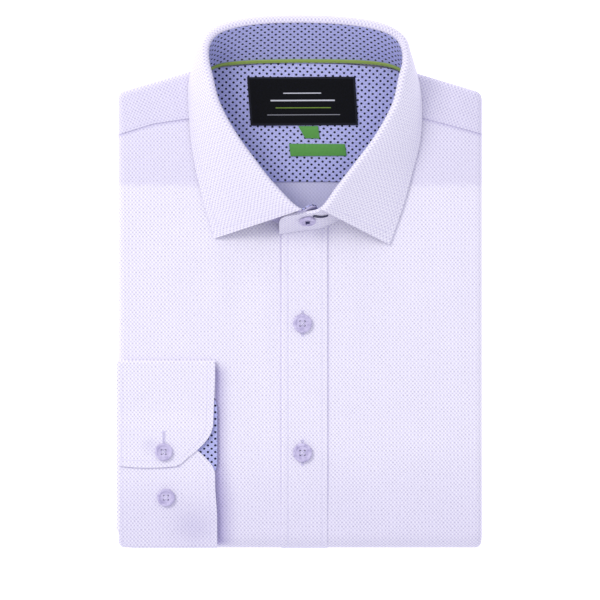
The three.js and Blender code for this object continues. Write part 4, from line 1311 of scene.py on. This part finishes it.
def build_back():
    x = np.linspace(-LINING_HALF_WIDTH, LINING_HALF_WIDTH, BACK_GRID[0])[:, None]
    y = np.linspace(BACK_LOWER_EDGE, LINING_HEM + BACK_LAP, BACK_GRID[1])
    top = grid_of(x, y, LINING_TOP - BACK_DROP + 0.12 * np.sin(x / 8 + 0.6 * np.sin(y / 13)))
    base = top - np.array([0, 0, BACK_CLOTH])
    make_piece("back_cloth", [wall(top, base, top[..., :2])], INSIDE, ["back"])


# Collar

def build_collar():
    build_stand()
    leaf = leaf_grid()
    build_leaf(leaf)
    make_piece("collar_stitches", [leaf_seam(leaf), *band_seams()], PALE_THREAD)
    tape = stand_grid(TAPE_FIRST_STATION, TAPE_LAST_STATION, TAPE_WIDTH, TAPE_COLUMNS)
    low = STAND_FACE + TAPE_GAP
    make_piece("neck_tape_cloth", [thick_wall(tape, low + TAPE_CLOTH, low)], TAPE,
               ["neck_tape"], rim=0.3)


def build_stand():
    grid = stand_grid(0, LAST_STATION)
    station = np.linspace(0, LAST_STATION, len(grid))[:, None]
    # At the over end the stand's cloth rolls over the top of its facing
    rolled = smoothstep(station, OVER_END_STATION, OVER_END_STATION + 1)
    share = np.linspace(0, 1, STAND_COLUMNS + 1)
    lip = rolled * smoothstep(share, 1 - LIP_SHARE, 1 - LIP_SHARE / 2)
    reach = lip * (STAND_FACE + STAND_HALF_GAP) - STAND_HALF_GAP
    weave = own_weave(grid)
    # Painted shade on the under end, behind the leaf
    painted_shade = UNDER_END_PAINTED_SHADE["most"] * smoothstep(-station, *UNDER_END_PAINTED_SHADE["stations"])
    weave = grid_of(weave[..., 0], weave[..., 1], painted_shade)
    make_piece("collar_stand_cloth", [thick_wall(grid, -STAND_FACE, reach, weave)], CLOTH,
               ["collar_stand"], rim=0.3)
    low = grid[:, :1]
    facing = low + (grid - low) * (1 - LIP_SHARE * rolled)[..., None]
    make_piece("stand_facing_cloth", [thick_wall(facing, STAND_FACE, STAND_HALF_GAP)], DOTTED,
               ["collar_stand_facing"], rim=0.3)


def build_leaf(leaf):
    half = LEAF_CLOTH / 2
    station = np.linspace(FIRST_LEAF_STATION, LAST_LEAF_STATION, len(leaf))
    # Painted shade along the leaf, by station
    painted_shade = np.interp(station, LEAF_PAINTED_SHADE["station"], LEAF_PAINTED_SHADE["painted_shade"])[:, None]
    weave = own_weave(leaf)
    weave = grid_of(weave[..., 0], weave[..., 1], painted_shade)
    make_piece("collar_leaf_cloth", [thick_wall(leaf, half, -half, weave)], CLOTH,
               ["collar_leaf"], rim=0.5)


def band_seams():
    """Two rows of stitches along the stand's over end."""
    grid = stand_grid(0, LAST_STATION)
    out = -grid_normals(grid)
    outer = grid + STAND_FACE * out
    shown = slice(BAND_STITCH_STATION * STATION_STEPS, -BAND_STITCH_END_ROWS)
    return [sewn(outer[shown, place], out[shown, place], **BAND_STITCH_SIZE)
            for place in BAND_STITCH_COLUMNS]


def leaf_seam(leaf):
    """Stitches along the leaf's ends and its outer edge."""
    normals = grid_normals(leaf)
    return border_seam(leaf + LEAF_CLOTH / 2 * normals, normals, LEAF_STITCH_INSET,
                       LEAF_SEAM_ROW, len(leaf) - 1 - LEAF_SEAM_ROW, LEAF_ROLL_STEPS // 2)


# Labels

def quad_grid(corners, columns, rows):
    """Grid over a four-cornered outline, from its first corner along to its second."""
    a, b, c, d = (np.array(p, float) for p in corners)
    u = np.linspace(0, 1, columns)[:, None, None]
    v = np.linspace(0, 1, rows)[None, :, None]
    return (1 - u) * (1 - v) * d + u * (1 - v) * c + u * v * b + (1 - u) * v * a


def build_label(node, corners, material, size):
    plan = quad_grid(corners, *LABEL_GRID)
    base_z = LINING_TOP + LABEL_RAISE
    u = np.linspace(-size[0] / 2, size[0] / 2, LABEL_GRID[0])[:, None]
    v = np.linspace(-size[1] / 2, size[1] / 2, LABEL_GRID[1])
    edge = np.minimum(size[0] / 2 - np.abs(u), size[1] / 2 - np.abs(v))
    crown = LABEL_CROWN["height"] * smoothstep(edge, 0, LABEL_CROWN["reach"])
    top = grid_of(plan[..., 0], plan[..., 1],
                  base_z + LABEL_CLOTH + crown + 0.08 * np.sin(u / 6))
    base = grid_of(plan[..., 0], plan[..., 1], base_z)
    make_piece(node + "_cloth", [wall(top, base, grid_of(u, v))], material, [node], rim=0.2)


def build_labels():
    build_label("label_main", LABEL_MAIN, LABEL, LABEL_SIZE_MAIN)
    build_label("label_size", LABEL_SIZE, TAB, LABEL_SIZE_SIZE)
    build_label("label_fit", LABEL_FIT, TAB, LABEL_SIZE_FIT)


# Sleeve and cuff

def cuff_path():
    """The cuff's length from its over end, round the top fold, behind, round the bottom fold
    and up to its under end, as places (y, z)."""
    radius = (CUFF_UNDER_Z - CUFF_BACK_Z) / 2
    middle = (CUFF_UNDER_Z + CUFF_BACK_Z) / 2
    top_fold, bottom_fold = CUFF_TOP_Y - radius, CUFF_BOTTOM_Y + radius
    ramp_start = CUFF_UNDER_END_Y + CUFF_RAMP_CLEARANCE
    ramp_end = ramp_start + CUFF_RAMP_LENGTH
    path = []

    def straight(start, end):
        count = max(2, round(math.dist(start, end) / CUFF_ROW_LENGTH))
        path.extend(np.linspace(start, end, count, endpoint=False))

    def fold(y, side):
        for i in range(CUFF_FOLD_STEPS):
            angle = math.pi * i / CUFF_FOLD_STEPS
            path.append(np.array([
                y + side * radius * math.sin(angle), middle + side * radius * math.cos(angle)]))

    straight((CUFF_OVER_END_Y, CUFF_OVER_Z), (ramp_start, CUFF_OVER_Z))
    straight((ramp_start, CUFF_OVER_Z), (ramp_end, CUFF_UNDER_Z))
    straight((ramp_end, CUFF_UNDER_Z), (top_fold, CUFF_UNDER_Z))
    fold(top_fold, 1)
    straight((top_fold, CUFF_BACK_Z), (bottom_fold, CUFF_BACK_Z))
    fold(bottom_fold, -1)
    straight((bottom_fold, CUFF_UNDER_Z), (CUFF_UNDER_END_Y, CUFF_UNDER_Z))
    path.append(np.array([CUFF_UNDER_END_Y, CUFF_UNDER_Z]))
    return np.array(path)


def cuff_right(from_end, over):
    """Right edge of the cuff: each end has a slanted, rounded corner on the opening side. The
    over end leans in towards its corner, and the under end out towards the bottom fold."""
    t = np.minimum(1, from_end / CUFF_CORNER_LENGTH)
    share = t + (np.sin(t * math.pi / 2) - t) * np.minimum(1, over + CUFF_CORNER_FULLNESS * t)
    rounding = CUFF_CORNER_ROUND * np.clip(1 - from_end / CUFF_CORNER_ROUND, 0, 1) ** 2
    inward = CUFF_LEAN["over"] * np.clip(1 - from_end / CUFF_LEAN["over_length"], 0, 1)
    outward = CUFF_LEAN["under"] * smoothstep(from_end, *CUFF_LEAN["from"])
    outward = outward * smoothstep(-from_end, *CUFF_LEAN["to"])
    lean = np.where(over > 0, -inward, outward)
    return CUFF_CORNER_X + (CUFF_RIGHT - CUFF_CORNER_X) * share - rounding + lean * share


def cuff_bow(x):
    """How far the over end's edge draws back from its lowest line, by x."""
    away = np.where(x < CUFF_BOW_X, (CUFF_BOW_X - x) / (CUFF_BOW_X - CUFF_LEFT),
                    (x - CUFF_BOW_X) / (CUFF_CORNER_X - CUFF_BOW_X))
    return CUFF_BOW * np.clip(away, 0, 1.3) ** 2


def cuff_left(y):
    """Left edge of the cuff: its corner at the bottom fold is rounded."""
    t = np.clip((CUFF_BOTTOM_Y + CUFF_FOLD_CORNER - y) / CUFF_FOLD_CORNER, 0, 1)
    return CUFF_LEFT + CUFF_FOLD_CORNER * (1 - np.sqrt(1 - t * t))


def cuff_grid():
    path = cuff_path()
    length = np.concatenate([[0], np.cumsum(np.linalg.norm(np.diff(path, axis=0), axis=1))])
    over = length < length[-1] / 2
    right = cuff_right(np.minimum(length, length[-1] - length), over.astype(float))
    left = cuff_left(path[:, 0])
    t = np.linspace(0, 1, CUFF_COLUMNS)
    x = left[:, None] + (right - left)[:, None] * t[None, :]
    fading = np.clip(1 - length / CUFF_BOW_LENGTH, 0, 1)
    y = path[:, :1] + cuff_bow(x) * fading[:, None]
    z = path[:, 1:] + crease_height(CUFF_CREASES, x, y) * (path[:, 1:] > CUFF_FACING_Z)
    # Painted shade, darker towards the bottom fold, with patches of painted shade on the top
    # layers
    painted_shade = CUFF_PAINTED_SHADE["most"] * smoothstep(-y, CUFF_PAINTED_SHADE["from"], CUFF_PAINTED_SHADE["to"])
    for shade in CUFF_PAINTED_SHADES:
        away = np.hypot(x - shade["at"][0], y - shade["at"][1]) / shade["reach"]
        painted_shade = painted_shade + shade["most"] * np.exp(-away ** 2) * (z > CUFF_FACING_Z)
    # Painted shadow on the under end, where the over end's edge lies on it
    from_edge = (CUFF_OVER_END_Y + cuff_bow(x) - y) * (length > length[-1] / 2)[:, None]
    below = (from_edge > 0) & (x < CUFF_CORNER_X + 1)
    fading = np.clip(1 - from_edge / OVER_EDGE_PAINTED_SHADOW["reach"], 0, 1)
    painted_shade = painted_shade + OVER_EDGE_PAINTED_SHADOW["most"] * below * fading
    return grid_of(x, y, z), grid_of(x, length[:, None], painted_shade)


def sleeve_grid():
    """From the cuff's left edge down round the side fold and in under the upper lobe."""
    axis_x, axis_z = LOBE_RADIUS - HALF_WIDTH, MID_HEIGHT + LOBE_MIDDLE
    radius = LOBE_RADIUS + 0.3 + SLEEVE_CLOTH / 2
    lip = CUFF_LEFT + 0.1 - (axis_x - radius)
    quarter = np.linspace(0, math.pi / 2, SLEEVE_ARC_STEPS + 1)
    upper = np.stack([
        axis_x - radius + lip * (1 - np.sin(quarter)),
        CUFF_UNDER_Z - lip * (1 - np.cos(quarter)),
    ], axis=1)
    lower = np.stack([
        axis_x - radius * np.cos(quarter), axis_z - radius * np.sin(quarter)], axis=1)
    section = np.concatenate([upper, lower, [[SLEEVE_RETURN_X, axis_z - radius]]])
    y = np.linspace(SLEEVE_BOTTOM_Y, CUFF_TOP_Y - 0.3, 50)
    return grid_of(section[:, :1], y, section[:, 1:])


def sleeve_wall():
    """The sleeve's wall, thickened at both ends so that it meets the body's rounded side."""
    grid = sleeve_grid()
    normals = grid_normals(grid) * SLEEVE_CLOTH / 2
    inner = grid + normals
    axis = np.array([LOBE_RADIUS - HALF_WIDTH, 0, MID_HEIGHT + LOBE_MIDDLE])
    around = unit((grid - axis) * np.array([1, 0, 1]))
    meeting = axis + around * (LOBE_RADIUS + 0.1) + grid * np.array([0, 1, 0])
    for end in (0, 1, -2, -1):
        upper = grid[:, end, 2] > axis[2]
        inner[upper, end] = meeting[upper, end]
    return wall(grid - normals, inner, own_weave(grid))


def build_cuff():
    half = CUFF_CLOTH / 2
    grid, weave = cuff_grid()
    make_piece("cuff_cloth", [thick_wall(grid, half, -half, weave)], CLOTH, ["cuff"],
               rim=0.35)
    out = -grid_normals(grid)
    face = grid + half * out
    shown = grid[:, 1, 2] > CUFF_FACING_Z
    near = round(CUFF_STITCH_INSET / CUFF_ROW_LENGTH)
    rows = [
        border_seam(face, out, CUFF_STITCH_INSET, near, len(face) - near, 1),
        sewn(face[shown, 1], out[shown, 1]),
    ]
    make_piece("cuff_stitches", rows, PALE_THREAD)
    y = np.linspace(CUFF_BOTTOM_Y + CUFF_FACING_INSET, CUFF_TOP_Y - CUFF_FACING_INSET,
                    CUFF_FACING_GRID[1])
    shown = smoothstep(y, *CUFF_FACING_SHOWN["low"]) * smoothstep(-y, *CUFF_FACING_SHOWN["high"])
    hidden_x = CUFF_RIGHT - CUFF_FACING_HIDDEN
    right = hidden_x + (CUFF_FACING_RIGHT - hidden_x) * shown
    left = CUFF_LEFT + CUFF_FACING_INSET
    x = left + (right - left) * np.linspace(0, 1, CUFF_FACING_GRID[0])[:, None]
    facing = grid_of(x, y, CUFF_FACING_Z)
    make_piece("cuff_facing_cloth", [thick_wall(facing, half, -half, facing[..., :2])], DOTTED,
               ["cuff_facing"], rim=0.3)
    make_piece("sleeve_cloth", [sleeve_wall()], CLOTH, ["sleeve"], rim=0.2)


# Buttons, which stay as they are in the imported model, and the sewing round them

BUTTONS = table(
    ("node", "x", "y", "z", "thickness", "spread"),
    ("button_front_1", 1.7, -27.5, 20.9, 2.6, 1.5),
    ("button_front_2", 1.7, -115.3, 20.9, 2.6, 1.5),
    ("button_cuff_1", -92.3, -114.5, 25.5, 2.4, 1.4),
    ("button_cuff_2", -90.8, -145.5, 24.2, 2.4, 1.4),
)
BUTTONHOLES = table(
    ("x", "from", "to", "z"),
    (1.7, -36.2, -33.2, 20.7),
    (1.7, -21.8, -18.8, 20.7),
    (1.7, -124, -121, 20.7),
    (1.7, -109.6, -106.6, 20.7),
    (-92.3, -109, -100.6, 25.3),
)
DISH_HEIGHT = 0.76
COLLAR_BUTTON = {"station": 22.7, "height": 0.62, "offset": 1.45, "thickness": 2.2, "spread": 1.3}
# By station and share of the stand's height
COLLAR_BUTTONHOLE = {"from": (22.36, 0.84), "to": (21.76, 0.5), "ridge": 0.75, "raise": 0.3}


def stand_frame(station, height):
    """A place on the stand's middle wall, with the ways along it, up it and out of it."""
    seam, top = stand_at(station)
    along = unit(stand_at(station + 0.05)[0] - seam)
    up = unit(top - seam)
    out = unit(np.cross(up, along))
    return seam + height * (top - seam), along, up, out


def build_buttons():
    pale = []
    for button in BUTTONS:
        dish = button["z"] + DISH_HEIGHT * button["thickness"]
        centre = (button["x"], button["y"], dish)
        pale += crossed_thread(centre, (1, 0, 0), (0, 1, 0), (0, 0, 1), button["spread"])
    for hole in BUTTONHOLES:
        ends = [(hole["x"], hole["from"], hole["z"]), (hole["x"], hole["to"], hole["z"])]
        pale += buttonhole(ends, (0, 0, 1))
    make_piece("button_threads", pale, PALE_THREAD)
    button = COLLAR_BUTTON
    middle, along, up, out = stand_frame(button["station"], button["height"])
    face = middle + out * (button["offset"] + DISH_HEIGHT * button["thickness"])
    navy = crossed_thread(face, along, up, out, button["spread"], 1.7)
    line, outs = [], []
    for station, height in np.linspace(COLLAR_BUTTONHOLE["from"], COLLAR_BUTTONHOLE["to"], 12):
        middle, _, _, out = stand_frame(station, height)
        line.append(middle + out * (STAND_FACE + COLLAR_BUTTONHOLE["raise"]))
        outs.append(out)
    navy += buttonhole(line, outs, COLLAR_BUTTONHOLE["ridge"])
    make_piece("collar_button_threads", navy, NAVY_THREAD)


def colour_solids():
    """Materials of the nodes that no piece replaces: the buttons and the hidden layers."""
    materials = dict.fromkeys([*column(BUTTONS, "node"), "button_collar"], RESIN)
    materials["folded_layers"] = HIDDEN
    for node, material in materials.items():
        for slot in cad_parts[node].material_slots:
            slot.material = material


build_fronts()
build_yoke()
build_placket()
build_lining()
build_back()
build_collar()
build_labels()
build_cuff()
build_buttons()
colour_solids()


# Camera, lights and floor

CAMERA = {"height": 1600, "aim": (0, -11.56), "view_width": 408, "sensor": 36}
KEY_LIGHT = {"place": (-0.9, 0.75, 1.3), "size": 0.6, "power": 10.8, "color": (1.04, 1.01, 0.93)}
SKY = {"color": (0.95, 0.94, 1.07, 1), "strength": 0.85}
FLOOR = {"half_size": 6, "drop": 0.2, "color": (0.9, 0.9, 0.9, 1), "glow": 0.55}


def add_to_scene(name, data):
    thing = bpy.data.objects.new(name, data)
    bpy.context.scene.collection.objects.link(thing)
    return thing


def build_camera():
    data = bpy.data.cameras.new("camera")
    data.sensor_width = CAMERA["sensor"]
    data.lens = CAMERA["sensor"] * (CAMERA["height"] - STACK_HEIGHT) / CAMERA["view_width"]
    camera = add_to_scene("camera", data)
    x, y = (np.array(CAMERA["aim"]) + SHIFT[:2]) * MM
    camera.location = (x, y, CAMERA["height"] * MM)
    bpy.context.scene.camera = camera


def build_light():
    data = bpy.data.lights.new("key", "AREA")
    data.size = KEY_LIGHT["size"]
    data.energy = KEY_LIGHT["power"]
    data.color = KEY_LIGHT["color"]
    light = add_to_scene("key", data)
    light.location = KEY_LIGHT["place"]
    light.rotation_mode = "QUATERNION"
    light.rotation_quaternion = (-light.location).to_track_quat("-Z", "Y")
    world = bpy.data.worlds.new("studio")
    world.use_nodes = True
    background = world.node_tree.nodes["Background"]
    background.inputs["Color"].default_value = SKY["color"]
    background.inputs["Strength"].default_value = SKY["strength"]
    bpy.context.scene.world = world
    bpy.context.scene.view_settings.view_transform = "Standard"


def build_floor():
    mesh = bpy.data.meshes.new("floor")
    size, low = FLOOR["half_size"], -FLOOR["drop"] * MM
    corners = [(-size, -size, low), (size, -size, low), (size, size, low), (-size, size, low)]
    mesh.from_pydata(corners, [], [(0, 1, 2, 3)])
    nodes = Nodes("floor_white")
    nodes.shader.inputs["Emission Color"].default_value = (1, 1, 1, 1)
    nodes.shader.inputs["Emission Strength"].default_value = FLOOR["glow"]
    mesh.materials.append(nodes.finish(FLOOR["color"], 0.9))
    add_to_scene("floor", mesh)


build_camera()
build_light()
build_floor()
